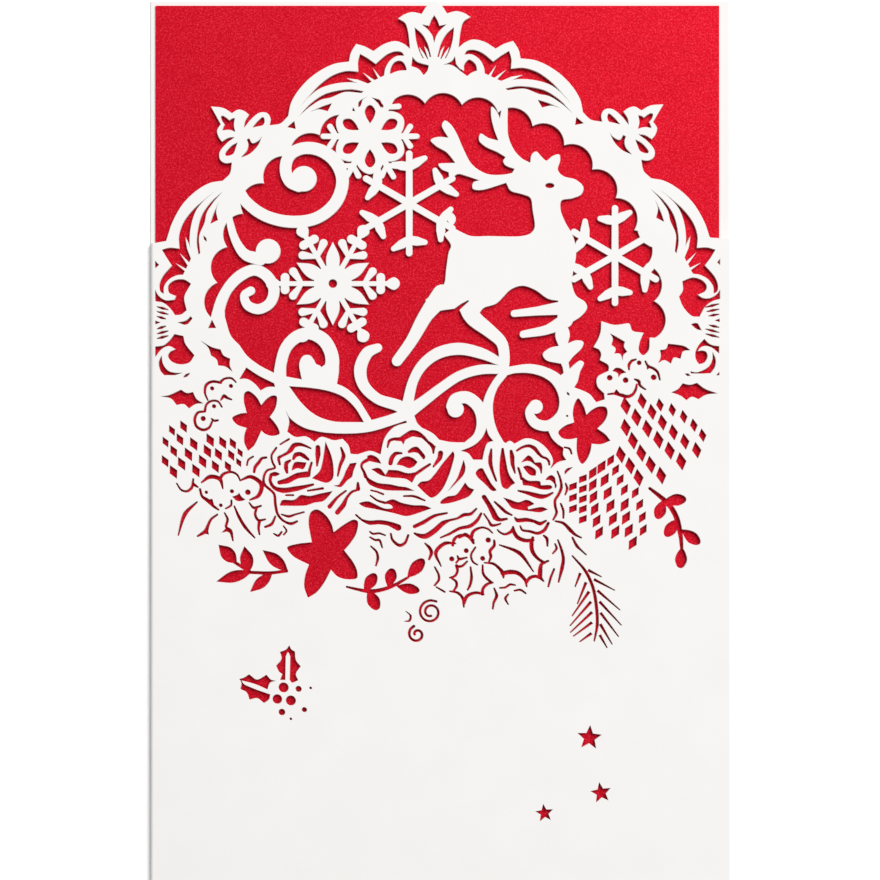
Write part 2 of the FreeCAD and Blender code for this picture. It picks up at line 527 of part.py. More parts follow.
def antlers():
    left = loop([C(17.4, 57.3), (13.0, 56.3), (9.6, 56.5), (6.6, 58.4), (4.7, 61.8), (3.4, 64.8),
                 (2.1, 66.8), (1.0, 67.5), (0.4, 66.6), (0.9, 65.4), C(1.8, 64.0), (-0.6, 64.1),
                 (-1.9, 63.5), (-0.8, 62.3), (1.4, 61.0), C(3.2, 58.8), (1.4, 58.7), (-0.3, 58.5),
                 (0.4, 57.5), C(1.8, 56.9), C(2.0, 55.0), (3.6, 56.5), (5.8, 56.0), C(8.2, 55.2),
                 (6.9, 54.7), (6.8, 53.5), (8.4, 53.2), C(13.7, 54.7), C(16.0, 55.0)])
    right = loop([C(14.0, 70.8), (13.9, 67.0), (14.1, 64.2), (15.3, 61.4), (17.0, 59.6), C(18.7, 58.8),
                  C(17.4, 57.2), (15.4, 57.6), (13.5, 58.4), (13.1, 59.2), C(13.6, 60.0), (12.0, 61.0),
                  (9.4, 62.2), (8.1, 63.5), (8.4, 64.8), (10.0, 63.9), C(12.1, 63.4), (11.2, 65.8),
                  (10.6, 68.6), (10.7, 70.4), (11.7, 69.4), C(12.4, 67.9), C(12.9, 70.8)])
    return [left, right]


def reindeer():
    """A leaping reindeer; returns its card and its eye hole."""
    hedge = loop([C(24.1, 25.0), (23.9, 22.8), C(24.6, 20.9), (22.7, 20.4), (21.3, 19.2), (22.0, 18.0),
                  C(24.9, 17.3), C(26.4, 17.3), (27.4, 18.6), (29.3, 20.5), (29.6, 21.7), (28.2, 22.0),
                  C(26.4, 21.4), (26.8, 23.3), C(26.1, 25.6)])
    tail = petal((2.4, 45.6), (2.4, 48.3), 1.6)
    return [reindeer_body(), *reindeer_legs(), *antlers(), tail, hedge], [oval((22.7, 54.1), 1.0, 0.6)]


# --- front leaf: holes in the flowers and the panel -------------------------------------------------
def large_gaps():
    """Open places between the scrolls and the flowers."""
    big_leaf = loop([C(-31.3, 12.6), (-27.0, 12.3), (-23.0, 11.6), (-20.0, 10.4), (-17.6, 8.2),
                     C(-15.7, 5.1), C(-18.0, 5.1), (-22.0, 5.2), (-25.8, 6.5), (-28.8, 9.1)])
    under_leaf = loop([C(-32.0, 7.7), (-31.0, 6.0), (-28.5, 4.2), (-25.0, 3.2), (-20.0, 2.8), (-14.5, 3.2),
                       C(-7.0, 5.5), C(-6.8, 5.0), (-9.6, 4.0), (-11.4, 1.9), C(-12.3, -1.6), (-14.5, -0.9),
                       C(-17.0, -1.6), C(-18.6, -1.5), (-19.0, 0.2), C(-20.2, 1.6), (-22.0, 1.3),
                       (-24.6, 2.0), C(-26.0, 1.0), (-27.8, 2.1), (-30.0, 2.0), C(-31.7, 3.1),
                       (-31.3, 5.3)])
    beside_leaf = loop([C(-41.6, 14.0), C(-40.1, 16.5), (-37.5, 14.8), C(-34.3, 13.2), C(-34.1, 12.4),
                        (-35.8, 12.3), C(-37.2, 11.6), (-38.4, 13.0), (-40.0, 14.0)])
    between_curls = loop([C(9.6, 4.0), (10.1, 2.5), C(11.1, 1.2), (9.8, 0.7), (9.2, -0.8), C(8.8, -2.7),
                          C(6.8, -2.7), (5.8, -1.4), C(4.2, -0.8), (7.0, 0.4), (8.7, 2.0)])
    beside_ring = loop([C(-49.6, 22.1), (-47.2, 20.7), C(-45.4, 20.2), (-44.8, 19.0), C(-43.4, 18.3),
                        (-43.5, 17.0), C(-42.9, 15.5), (-44.6, 16.6), C(-46.0, 16.8), (-46.3, 18.0),
                        C(-47.5, 18.9), (-48.0, 20.4)])
    beside_scroll = [(-47.2, 26.4), (-48.1, 24.5), (-46.3, 24.6)]
    return [big_leaf, under_leaf, beside_leaf, between_curls, beside_ring, beside_scroll]


def flower_holes():
    return [flower((-37.8, 5.0), 1.7, 3.1, [(110, 6.9), (55, 6.7), (-28, 5.6), (-107, 6.5), (-187, 5.5)]),
            flower((-23.8, -21.4), 2.6, 4.8, [(103, 8.7), (43, 9.2), (-40, 9.0), (-111, 10.5), (-182, 8.2)]),
            flower((30.0, 3.2), 1.7, 3.2, [(102, 6.9), (45, 6.7), (-23, 6.0), (-97, 7.2), (-174, 5.9)])]


def cone_holes():
    """Three pine cones, each a net of lozenges in staggered strands."""
    left = [((-55.7, 3.4), 20, 0, 2, 2.6, 0.9), ((-57.0, 1.1), -1, 0, 6, 2.9, 1.0),
            ((-55.6, -1.1), -1, 0, 6, 2.9, 1.0), ((-57.0, -3.2), -1, 0, 6, 2.95, 0.95),
            ((-54.8, -5.4), 0, 0, 2, 4.6, 0.9)]
    upper = [((37.4, -1.4), -52, 0, 3, 3.1, 0.9), ((37.9, 4.0), -58, 4, 5, 3.4, 1.0),
             ((38.6, 8.4), -50, 2, 6, 3.3, 1.0), ((41.8, 9.2), -46, 4, 6, 3.2, 0.95),
             ((45.6, 8.8), -38, -2, 5, 2.8, 0.8)]
    lower = [((27.4, -8.4), -90, 0, 3, 2.3, 0.7), ((29.4, -6.5), -90, 0, 5, 2.35, 0.75),
             ((31.5, -5.3), -91, 3, 6, 2.6, 0.95), ((33.6, -4.0), -84, 1, 6, 2.8, 1.0),
             ((35.8, -2.6), -68, -3, 8, 2.6, 0.95), ((40.7, -9.5), -72, -4, 4, 2.6, 0.9)]
    out = []
    for strands, wide, tall in ((left, (0.85, 0.45), (-0.45, 1.35)), (upper, (1.1, -0.15), (-0.15, 1.6)),
                                (lower, (0.95, 1.2), (-0.85, 0.45))):
        for start, heading, turn, count, pitch, size in strands:
            out += strand(start, heading, turn, count, pitch, (wide[0] * size, wide[1] * size),
                          (tall[0] * size, tall[1] * size))
    return out


def first_rose_holes():
    return [loop([C(-23.7, 1.1), (-22.5, -2.0), (-22.1, -5.0), (-22.5, -7.0), (-24.0, -7.4), C(-26.5, -6.4),
                  (-24.8, -4.8), (-24.2, -2.0)]),
            loop([C(-17.2, -3.4), C(-18.7, -3.4), (-19.6, -5.5), C(-21.9, -8.0), (-20.8, -8.2), (-19.0, -6.9),
                  (-17.9, -5.0)]),
            loop([C(-31.0, -4.9), C(-30.4, -3.3), (-29.0, -2.9), C(-27.5, -3.2), (-28.2, -4.7),
                  (-29.6, -4.3)]),
            slit(1.3, (-33.7, -7.3), (-31.5, -7.0), (-29.5, -5.9), (-27.0, -5.4)),
            slit(1.1, (-35.2, -6.3), (-34.6, -8.4), (-31.0, -8.9), (-26.2, -7.8)),
            slit(1.9, (-33.6, -12.1), (-30.5, -11.4), (-26.5, -10.9), (-22.0, -9.0)),
            slit(1.0, (-25.3, 0.4), (-25.4, -1.5), (-25.6, -3.8)),
            slit(1.0, (-30.5, -2.3), (-29.0, -1.4), (-27.3, -2.7)),
            slit(0.9, (-31.2, -2.6), (-32.0, -3.8), (-31.5, -5.4))]


def second_rose_holes():
    return [loop([C(2.7, -1.0), (2.6, -3.5), (1.6, -7.0), (-0.5, -9.8), (-2.0, -10.4), (-3.5, -9.5),
                  C(-4.8, -7.8), (-1.3, -5.9), (0.3, -3.9)]),
            loop([C(4.9, -2.7), (5.2, -4.7), (4.5, -6.3), C(1.5, -9.2), (2.9, -7.4), (3.9, -5.6)]),
            loop([C(5.2, -7.4), (6.0, -8.4), C(7.0, -8.7), (6.2, -10.0), (3.5, -11.2), C(0.0, -11.6),
                  (1.5, -10.3), (3.6, -9.6)]),
            loop([C(8.8, -4.4), (7.5, -4.9), (7.4, -5.9), C(10.6, -9.2), C(11.7, -9.0), (10.4, -7.2)]),
            loop([C(12.7, -0.2), (12.4, -4.0), (12.6, -8.0), (13.4, -8.9), C(15.5, -7.4), (14.1, -5.6),
                  (13.4, -3.0)]),
            loop([(-9.3, -3.6), (-7.5, -2.3), (-5.7, -2.2), (-4.7, -3.2), (-6.0, -4.3), (-7.7, -4.1)]),
            loop([(-11.2, -11.2), (-9.3, -10.7), (-7.0, -11.7), C(-1.7, -12.7), (-4.2, -13.9), (-7.0, -14.3),
                  (-9.2, -13.6)]),
            loop([C(-15.3, -2.6), (-14.2, -1.6), (-12.8, -2.0), C(-12.1, -3.5), (-14.0, -3.1)]),
            slit(1.2, (-15.9, -3.4), (-16.0, -5.4), (-14.4, -7.6), (-10.0, -8.5), (-5.2, -9.0)),
            slit(1.5, (-14.4, -4.6), (-12.2, -5.4), (-8.0, -5.7), (-5.0, -5.6), (-2.3, -3.8)),
            slit(1.2, (-11.2, -0.3), (-9.4, 1.4), (-6.0, 3.1), (-3.2, 2.0), (-1.2, -1.2)),
            slit(0.9, (-10.7, -3.4), (-10.0, -1.7), (-8.2, -1.2)),
            slit(1.3, (-6.9, -1.0), (-5.0, -0.2), (-3.3, -2.4)),
            slit(1.0, (-17.0, -11.8), (-14.2, -12.0), (-11.6, -12.5)),
            stroke([(-17.4, -14.0), (-14.6, -15.6), (-11.0, -15.5), (-8.4, -16.6)], [0.4, 0.8, 0.9, 1.1]),
            slit(1.2, (-5.2, -18.1), (-2.4, -18.2), (0.6, -15.8), (3.6, -14.6))]


def third_rose_holes():
    return [loop([C(17.1, -4.1), (18.3, -3.9), (19.5, -4.7), C(19.9, -5.7), (18.4, -5.7)]),
            loop([C(16.4, -6.0), (17.6, -6.7), (19.6, -7.4), C(22.7, -8.3), (21.4, -9.0), (18.6, -8.7),
                  C(16.8, -8.2)]),
            loop([C(13.1, -10.4), (15.0, -11.3), (16.5, -11.4), C(19.5, -11.8), C(18.3, -12.6),
                  C(22.3, -13.0), (19.0, -13.7), (15.6, -12.9)]),
            slit(1.2, (16.7, -3.4), (18.4, -2.1), (20.3, -3.4), (21.2, -4.0), (21.2, -5.5)),
            slit(1.1, (22.0, -6.2), (23.5, -6.0), (24.0, -8.0)),
            slit(0.9, (16.0, -9.1), (19.0, -10.2), (23.4, -9.4)),
            slit(1.2, (8.7, -10.0), (10.3, -12.4), (11.2, -14.6), (13.8, -14.9)),
            slit(1.0, (15.3, -14.8), (18.2, -15.2), (21.5, -15.1)),
            slit(1.0, (16.5, -16.4), (18.4, -17.6), (21.0, -17.2), (22.4, -15.7))]


def berry_and_bough_holes():
    """The widest cuts round the berries and down the boughs."""
    return [slit(1.1, (-49.4, -7.4), (-47.6, -6.2), (-45.6, -6.7), (-45.0, -8.6)),
            slit(1.1, (-41.2, -6.9), (-39.2, -6.2), (-37.0, -7.8), (-37.6, -10.1), (-39.4, -11.0)),
            slit(1.0, (-50.3, -11.4), (-52.8, -13.9), (-54.2, -18.3)),
            slit(1.0, (0.2, -24.7), (-0.9, -21.9), (1.0, -20.0), (3.2, -20.0)),
            slit(1.0, (3.9, -18.9), (5.2, -18.2), (7.0, -19.3)),
            slit(1.0, (12.3, -20.3), (16.4, -22.0), (19.3, -25.8))]


def holly_holes():
    return [holly((-57.9, 10.6), (-48.8, 8.8), 4.4), holly((47.6, 11.4), (57.5, 10.9), 4.4),
            holly((34.9, 23.9), (37.8, 17.6), 3.4), holly((44.9, 17.2), (51.9, 20.3), 4.2)]


def sprig_holes():
    left = [leaf((-31.4, -25.7), (-36.8, -21.3), 2.7),
            leaf((-39.6, -26.2), (-40.5, -20.5), 2.9), leaf((-42.0, -24.2), (-45.9, -20.2), 3.0),
            leaf((-38.8, -25.8), (-46.4, -27.9), 2.5), leaf((-34.6, -26.0), (-39.4, -30.1), 2.4)]
    middle = [petal((-15.8, -30.0), (-13.3, -26.2), 2.6), petal((-10.8, -29.2), (-9.8, -25.1), 2.6),
              petal((-6.9, -27.2), (-3.3, -23.2), 2.7), petal((-9.2, -28.8), (-4.2, -29.8), 2.3),
              petal((-15.0, -29.4), (-12.9, -33.8), 2.8)]
    right = [petal((46.2, -11.2), (51.0, -10.8), 2.6), petal((46.4, -10.8), (44.9, -15.0), 2.6),
             petal((49.3, -14.8), (46.6, -18.6), 2.6), petal((49.9, -17.0), (53.8, -20.1), 2.6),
             petal((50.1, -20.6), (49.7, -25.2), 2.6)]
    return left + middle + right


def star_holes():
    return [star((30.9, -60.2), 2.7, 86), star((33.3, -71.6), 2.3, 99), star((21.6, -75.8), 2.0, 97)]


def corner_holly():
    """Two holly leaves in the lower corner, their midribs left uncut, and their berries."""
    upright = loop([C(-31.2, -41.0), (-31.9, -41.9), C(-33.2, -42.4), (-32.9, -43.9), C(-34.0, -45.3),
                    (-33.4, -46.6), C(-32.7, -47.1), C(-33.2, -48.3), C(-32.0, -48.3), C(-31.9, -43.4),
                    (-31.5, -42.6), C(-31.1, -43.4), C(-31.2, -48.3), (-30.7, -48.9), C(-29.3, -48.3),
                    (-29.8, -47.0), C(-28.8, -45.4), (-29.8, -44.1), C(-30.0, -42.3), (-30.7, -41.9)])
    level = loop([C(-41.6, -48.0), (-40.6, -47.7), C(-39.5, -47.0), (-37.9, -48.1), C(-35.9, -47.1),
                  (-35.0, -48.1), C(-33.9, -48.4), (-35.2, -48.9), C(-35.7, -50.3), (-38.3, -49.2),
                  C(-41.0, -48.4), (-40.6, -49.0), (-38.2, -50.1), C(-35.1, -51.2), (-35.4, -52.3),
                  C(-36.5, -53.1), (-37.9, -52.1), C(-39.5, -52.4), (-40.1, -50.9), C(-41.4, -50.2),
                  (-41.2, -49.0)])
    berries = [disc((-32.4, -49.8), 1.1), disc((-33.7, -52.2), 1.05), disc((-30.9, -52.5), 1.1),
               disc((-29.3, -50.1), 0.7), disc((-32.75, -54.9), 0.75), disc((-28.1, -54.4), 0.6)]
    return [upright, level, *berries]


# --- from outlines to faces ------------------------------------------------------------------------
def nearest_line(line, sag):
    """The same line with only the points that keep it within the sag."""
    (ax, ay), (bx, by) = line[0], line[-1]
    length = hypot(bx - ax, by - ay)
    strays = [abs((bx - ax) * (ay - y) - (ax - x) * (by - ay)) / length if length > 1e-6
              else hypot(x - ax, y - ay) for x, y in line]
    worst = max(range(len(line)), key=strays.__getitem__)
    if strays[worst] <= sag:
        return [line[0], line[-1]]
    return nearest_line(line[:worst + 1], sag)[:-1] + nearest_line(line[worst:], sag)


def facets(outline):
    """A closed outline with as few straight facets as the sag allows, on the card itself."""
    flat = [(p[0] * CARD_WIDTH / BOARD_WIDTH, p[1] * CARD_HEIGHT / BOARD_HEIGHT) for p in outline]
    ring = flat + [flat[0]]
    far = max(range(len(flat)), key=lambda k: hypot(flat[k][0] - flat[0][0], flat[k][1] - flat[0][1]))
    thin = nearest_line(ring[:far + 1], FACET_SAG)[:-1] + nearest_line(ring[far:], FACET_SAG)[:-1]
    out = [thin[0]]
    for point in thin[1:]:
        if hypot(point[0] - out[-1][0], point[1] - out[-1][1]) > SHORTEST_FACET:
            out.append(point)
    return out


def face_of(outline):
    """A flat face that looks up, whichever way round its outline was drawn."""
    points = facets(outline)
    turning = sum(a[0] * b[1] - b[0] * a[1] for a, b in zip(points, points[1:] + points[:1]))
    if turning < 0:
        points.reverse()
    corners = [FreeCAD.Vector(x, y, 0) for x, y in points]
    return Part.Face(Part.makePolygon(corners + [corners[0]]))


def openings(outlines, hanging):
    """Holes less the card that hangs in them."""
    out = []
    for hole in (face_of(outline) for outline in outlines):
        inside = [piece for piece in hanging if piece.BoundBox.intersect(hole.BoundBox)]
        out += (hole.cut(inside) if inside else hole).Faces
    return out


def front_face():
    """The whole pierced front leaf as one flat face. What a cut frees on all sides falls out."""
    looped_card, looped_holes = looped_snowflake((-14.5, 64.3))
    star_card, star_eye = star_snowflake((-22.2, 33.8))
    deer_card, deer_eye = reindeer()
    hanging = [*scrolls(), *looped_card, *star_card, *deer_card]
    hanging += barbed_snowflake((-6.4, 50.4), 1.0) + barbed_snowflake((36.2, 39.6), 0.95)
    for spike in crescent_spikes():
        hanging += all_four(spike)
    details = [*looped_holes, *star_eye, *deer_eye, *large_gaps(), *flower_holes(), *cone_holes(),
               *first_rose_holes(), *second_rose_holes(), *third_rose_holes(), *berry_and_bough_holes(),
               *holly_holes(), *sprig_holes(), *star_holes(), *corner_holly()]
    sheet = face_of(panel_outline()).fuse(face_of(medallion_outline())).removeSplitter()
    sheet = sheet.cut(openings([window_outline(), *medallion_holes()], [face_of(piece) for piece in hanging]))
    pierced = sheet.cut([face_of(hole) for hole in details])
    return max(pierced.Faces, key=lambda face: face.Area)


# --- the pieces --------------------------------------------------------------------------------------
def levels():
    """Heights of the insert's underside and top, and of the front leaf's underside and top."""
    insert_top = COVER_PAPER + INSERT_PAPER
    front_under = insert_top + LEAF_GAP
    return COVER_PAPER, insert_top, front_under, front_under + COVER_PAPER


def fold_height():
    """How far up the fold runs from the bottom of the card."""
    return (0.5 + SHOULDER_LEFT / BOARD_HEIGHT) * CARD_HEIGHT


def fold_solid():
    """The rounded fold that joins the two leaves, from the bottom up to the left shoulder."""
    overall = levels()[3]
    outer = overall / 2
    up = fold_height()
    spine = FreeCAD.Vector(outer - CARD_WIDTH / 2, -CARD_HEIGHT / 2, outer)
    along = FreeCAD.Vector(0, 1, 0)
    roll = Part.makeCylinder(outer, up, spine, along)
    roll = roll.cut(Part.makeCylinder(outer - COVER_PAPER, up, spine, along))
    half = Part.makeBox(outer, up, overall, FreeCAD.Vector(-CARD_WIDTH / 2, -CARD_HEIGHT / 2, 0))
    return roll.common(half)


def back_leaf():
    """Full height; beside the fold it starts where the bend ends, above it at the edge."""
    bend = levels()[3] / 2
    up = fold_height()
    left = -CARD_WIDTH / 2
    bottom = -CARD_HEIGHT / 2
    leaf_plate = Part.makeBox(CARD_WIDTH - bend, CARD_HEIGHT, COVER_PAPER,
                              FreeCAD.Vector(left + bend, bottom, 0))
    strip = Part.makeBox(bend, CARD_HEIGHT - up, COVER_PAPER, FreeCAD.Vector(left, bottom + up, 0))
    return leaf_plate.fuse(strip)


def front_leaf():
    """The pierced leaf, from the end of the bend to the open edge."""
    sheet = front_face()
    sheet.translate(FreeCAD.Vector(0, 0, levels()[2]))
    return sheet.extrude(FreeCAD.Vector(0, 0, COVER_PAPER))


def card_cover():
    return front_leaf().fuse([fold_solid(), back_leaf()]).removeSplitter()


def red_insert():
    """A plain sheet glued face to face on the inside of the back leaf."""
    under = levels()[0]
    return Part.makeBox(CARD_WIDTH - INSERT_LEFT - INSERT_RIGHT, CARD_HEIGHT - INSERT_TOP - INSERT_BOTTOM,
                        INSERT_PAPER,
                        FreeCAD.Vector(INSERT_LEFT - CARD_WIDTH / 2, INSERT_BOTTOM - CARD_HEIGHT / 2, under))


def main():
    os.makedirs("parts", exist_ok=True)
    for name, shape in (("card_cover", card_cover()), ("red_insert", red_insert())):
        solids = shape.Solids
        print(name, len(solids), "solid,", round(shape.Volume, 1), "mm3,", len(shape.Faces), "faces,",
              len(shape.Vertexes), "corners, valid:", shape.isValid())
        solids[0].exportStep("parts/" + name + ".step")


main()
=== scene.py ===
# %% [markdown]
# # A laser cut greeting card
# The real thing is one sheet of white card, folded down its left side. A laser has cut its front leaf
# into lace: a round window with a leaping reindeer, snowflakes and scrolls, over a band of roses. A plain
# red card with a pearl shimmer is glued inside, and it is what shows through every hole. This lesson
# draws the lace as outlines, lays them over each other like cut paper, gives the sheet its thickness with
# Geometry Nodes, and then paints, lights and frames it.

# %% Tools and the frame
import bmesh
import bpy
from math import atan2, ceil, cos, degrees, hypot, pi, radians, sin
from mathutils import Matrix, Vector, geometry


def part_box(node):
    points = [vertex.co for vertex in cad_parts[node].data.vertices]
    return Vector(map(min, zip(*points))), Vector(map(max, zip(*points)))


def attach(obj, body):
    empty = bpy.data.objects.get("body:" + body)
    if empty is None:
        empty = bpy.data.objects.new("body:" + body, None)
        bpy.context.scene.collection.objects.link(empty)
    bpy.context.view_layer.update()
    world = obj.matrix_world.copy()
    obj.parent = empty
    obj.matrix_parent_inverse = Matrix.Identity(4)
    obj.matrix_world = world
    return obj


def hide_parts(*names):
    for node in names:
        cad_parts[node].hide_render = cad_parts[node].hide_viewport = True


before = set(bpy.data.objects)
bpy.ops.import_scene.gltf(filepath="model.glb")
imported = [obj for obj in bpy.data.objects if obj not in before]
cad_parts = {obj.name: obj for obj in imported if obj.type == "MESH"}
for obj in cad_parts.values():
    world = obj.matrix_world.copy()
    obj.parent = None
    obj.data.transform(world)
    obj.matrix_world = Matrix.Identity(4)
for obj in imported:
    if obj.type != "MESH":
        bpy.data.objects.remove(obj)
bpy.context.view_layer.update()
MM = 0.001

# %% [markdown]
# ## Sizes
# Every height comes from the frame, so the dressed card sits exactly where the plain one does. The lace
# is drawn on a board of 120 x 185 mm with its middle at (0, 0), and is stretched to the size of the card.

# %% Sizes in millimetres
low, high = [[value / MM for value in corner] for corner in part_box("card_cover")]
insert_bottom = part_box("red_insert")[0][2] / MM
CARD_WIDTH = high[0] - low[0]
CARD_HEIGHT = high[1] - low[1]
CARD_DEPTH = high[2] - low[2]
PAPER = insert_bottom - low[2]          # thickness of the card: the insert lies on the back leaf
FRONT_UNDER = high[2] - PAPER           # height of the front leaf's underside
BEND_RADIUS = CARD_DEPTH / 2
BOARD_WIDTH = 120.0
BOARD_HEIGHT = 185.0
print("card", round(CARD_WIDTH, 2), "x", round(CARD_HEIGHT, 2), "mm, paper", round(PAPER, 2), "mm")

# %% [markdown]
# ## Colours and nodes
# Colours are written as the hex values a paint chart gives and turned to linear light by one function.
# One more function adds a node with its settings and links, so that a material reads as a short list.

# %% Colour and node helpers
def paint(hex_code):
    """A hex colour as linear RGBA."""
    channels = [int(hex_code[k:k + 2], 16) / 255 for k in (1, 3, 5)]
    return (*[c / 12.92 if c <= 0.04045 else ((c + 0.055) / 1.055) ** 2.4 for c in channels], 1.0)


def node(tree, kind, inputs=None, **settings):
    """Adds a node, sets its properties and fills its inputs. A node as an input gives its first output."""
    made = tree.nodes.new(kind)
    for name, value in settings.items():
        setattr(made, name, value)
    for key, value in (inputs or {}).items():
        if isinstance(value, bpy.types.Node):
            value = value.outputs[0]
        if isinstance(value, bpy.types.NodeSocket):
            tree.links.new(value, made.inputs[key])
        else:
            made.inputs[key].default_value = value
    return made


def blank_material(name):
    """A new material and its empty tree."""
    material = bpy.data.materials.new(name)
    material.use_nodes = True
    tree = material.node_tree
    tree.nodes.clear()
    return material, tree


# %% [markdown]
# ## White card stock
# Uncoated wood-free card of about 240 g/m2. It scatters light evenly and has almost no gloss. Close up
# its surface is a felt of fibres: faint clouds some millimetres wide where the pulp is thicker, and a
# tooth of about a quarter of a millimetre, drawn a little coarser than life so that it shows.

# %% White card
FIBRE_SIZE = 0.25 * MM
CLOUD_SIZE = 9.0 * MM


def white_card():
    material, tree = blank_material("uncoated_white_card")
    place = node(tree, "ShaderNodeTexCoord").outputs["Object"]
    clouds = node(tree, "ShaderNodeTexNoise", {"Vector": place, "Scale": 1 / CLOUD_SIZE, "Detail": 3.0})
    tooth = node(tree, "ShaderNodeTexNoise", {"Vector": place, "Scale": 1 / FIBRE_SIZE, "Detail": 4.0})
    tone = node(tree, "ShaderNodeMixRGB", {
        "Fac": clouds.outputs["Fac"], "Color1": paint("#eae8e6"), "Color2": paint("#efedeb")})
    speckle = node(tree, "ShaderNodeMixRGB", {
        "Fac": 0.05, "Color1": tone, "Color2": tooth.outputs["Color"]}, blend_type="OVERLAY")
    bump = node(tree, "ShaderNodeBump", {
        "Height": tooth.outputs["Fac"], "Strength": 0.12, "Distance": 0.02 * MM})
    shader = node(tree, "ShaderNodeBsdfPrincipled", {
        "Base Color": speckle, "Roughness": 0.82, "IOR": 1.46, "Specular IOR Level": 0.25, "Normal": bump})
    node(tree, "ShaderNodeOutputMaterial", {"Surface": shader})
    return material


# %% [markdown]
# ## The cut edge
# A laser burns its way through. The wall that it leaves is a warm brown where the card has scorched,
# darker where more soot has settled. Its browns are also painted shade, near black, for the shadow in the
# slits and round each hole. It is only as wide as the card is thick, and it is what draws the fine dark
# line round each hole. Two browns mixed by a soft noise are enough for so narrow a strip. The same
# colour, partly smoke stain and partly painted shade, goes on the underside of the lace.

# %% Scorched edge with painted shade
SOOT_SIZE = 1.5 * MM


def scorch_and_painted_shade_edge():
    material, tree = blank_material("laser_scorch_and_painted_shade_edge")
    place = node(tree, "ShaderNodeTexCoord").outputs["Object"]
    soot = node(tree, "ShaderNodeTexNoise", {"Vector": place, "Scale": 1 / SOOT_SIZE, "Detail": 3.0})
    # The browns are near black: partly the scorch, and partly painted shade for the dark line round holes
    # and in the slits.
    tone = node(tree, "ShaderNodeMixRGB", {
        "Fac": soot.outputs["Fac"], "Color1": paint("#240c0b"), "Color2": paint("#46201c")})
    shader = node(tree, "ShaderNodeBsdfPrincipled", {
        "Base Color": tone, "Roughness": 0.9, "IOR": 1.46, "Specular IOR Level": 0.15})
    node(tree, "ShaderNodeOutputMaterial", {"Surface": shader})
    return material


# %% [markdown]
# ## Red pearl card
# The insert is dyed card with a coat of fine mica flakes. The flakes lie at slightly different tilts, so
# the red is broken into a fine grain of lighter and darker specks, and the sheet has a soft satin glow.
# The glints of the brightest flakes are a painted highlight: a little white added to the colour, which
# makes them a little pink. Real flakes are under a tenth of a millimetre. They are drawn at a third of a
# millimetre, so that the grain shows.

# %% Red pearl card
FLAKE_SIZE = 0.33 * MM
DYE_CLOUD_SIZE = 7 * MM
# The glint is a painted highlight.
PAINTED_GLINT = 0.037               # how much light the brightest flakes add to the red


def red_pearl_card():
    material, tree = blank_material("red_pearl_card")
    place = node(tree, "ShaderNodeTexCoord").outputs["Object"]
    flakes = node(tree, "ShaderNodeTexVoronoi", {"Vector": place, "Scale": 1 / FLAKE_SIZE})
    grain = node(tree, "ShaderNodeTexNoise", {"Vector": place, "Scale": 1 / FLAKE_SIZE, "Detail": 2.0})
    clouds = node(tree, "ShaderNodeTexNoise", {"Vector": place, "Scale": 1 / DYE_CLOUD_SIZE, "Detail": 3.0})
    dye = node(tree, "ShaderNodeMixRGB", {
        "Fac": clouds.outputs["Fac"], "Color1": paint("#c50720"), "Color2": paint("#cf0f29")})
    flecks = node(tree, "ShaderNodeMixRGB", {
        "Fac": 1.0, "Color1": dye, "Color2": grain.outputs["Fac"]}, blend_type="SOFT_LIGHT")
    # Painted highlight: a little white is added to the colour where the grain is brightest.
    painted_glint = node(tree, "ShaderNodeMapRange", {
        "Value": grain.outputs["Fac"], "From Min": 0.5, "From Max": 0.8, "To Max": PAINTED_GLINT})
    pearl = node(tree, "ShaderNodeMixRGB", {"Fac": 1.0, "Color1": flecks, "Color2": painted_glint},
                 blend_type="ADD")
    tilt = node(tree, "ShaderNodeBump", {
        "Height": flakes.outputs["Color"], "Strength": 0.6, "Distance": 0.03 * MM})
    shader = node(tree, "ShaderNodeBsdfPrincipled", {
        "Base Color": pearl, "Roughness": 0.5, "Metallic": 0.4, "IOR": 1.5, "Specular IOR Level": 0.06,
        "Normal": tilt})
    node(tree, "ShaderNodeOutputMaterial", {"Surface": shader})
    return material


WHITE = white_card()
EDGE = scorch_and_painted_shade_edge()
RED = red_pearl_card()
print("materials:", WHITE.name, EDGE.name, RED.name)


# %% [markdown]
# ## How the lace is drawn
# In an outline, C(x, y) is a sharp corner and a plain pair is a point on a smooth stretch. Between
# corners the line follows a centripetal Catmull-Rom curve, which passes through every point and never
# loops back on itself. A Bezier would need two handles for each point; this needs none, so an outline
# stays short.

# %% Points
def C(x, y):
    """A sharp corner of an outline."""
    return (x, y, True)


def at_polar(centre, radius, angle):
    return (centre[0] + radius * cos(radians(angle)), centre[1] + radius * sin(radians(angle)))


def polar(centre, point):
    dx = point[0] - centre[0]
    dy = point[1] - centre[1]
    return hypot(dx, dy), degrees(atan2(dy, dx))


def moved_to(point, place):
    """The point at a new place, still a corner if it was one."""
    return (*place, *point[2:])


def placed(points, origin, heading):
    """Points drawn along +X from (0, 0), put at the origin and turned to the heading."""
    c = cos(radians(heading))
    s = sin(radians(heading))
    return [moved_to(p, (origin[0] + c * p[0] - s * p[1], origin[1] + s * p[0] + c * p[1])) for p in points]


# %% Smooth lines
SPAN_STEPS = 10             # steps from one drawn point to the next


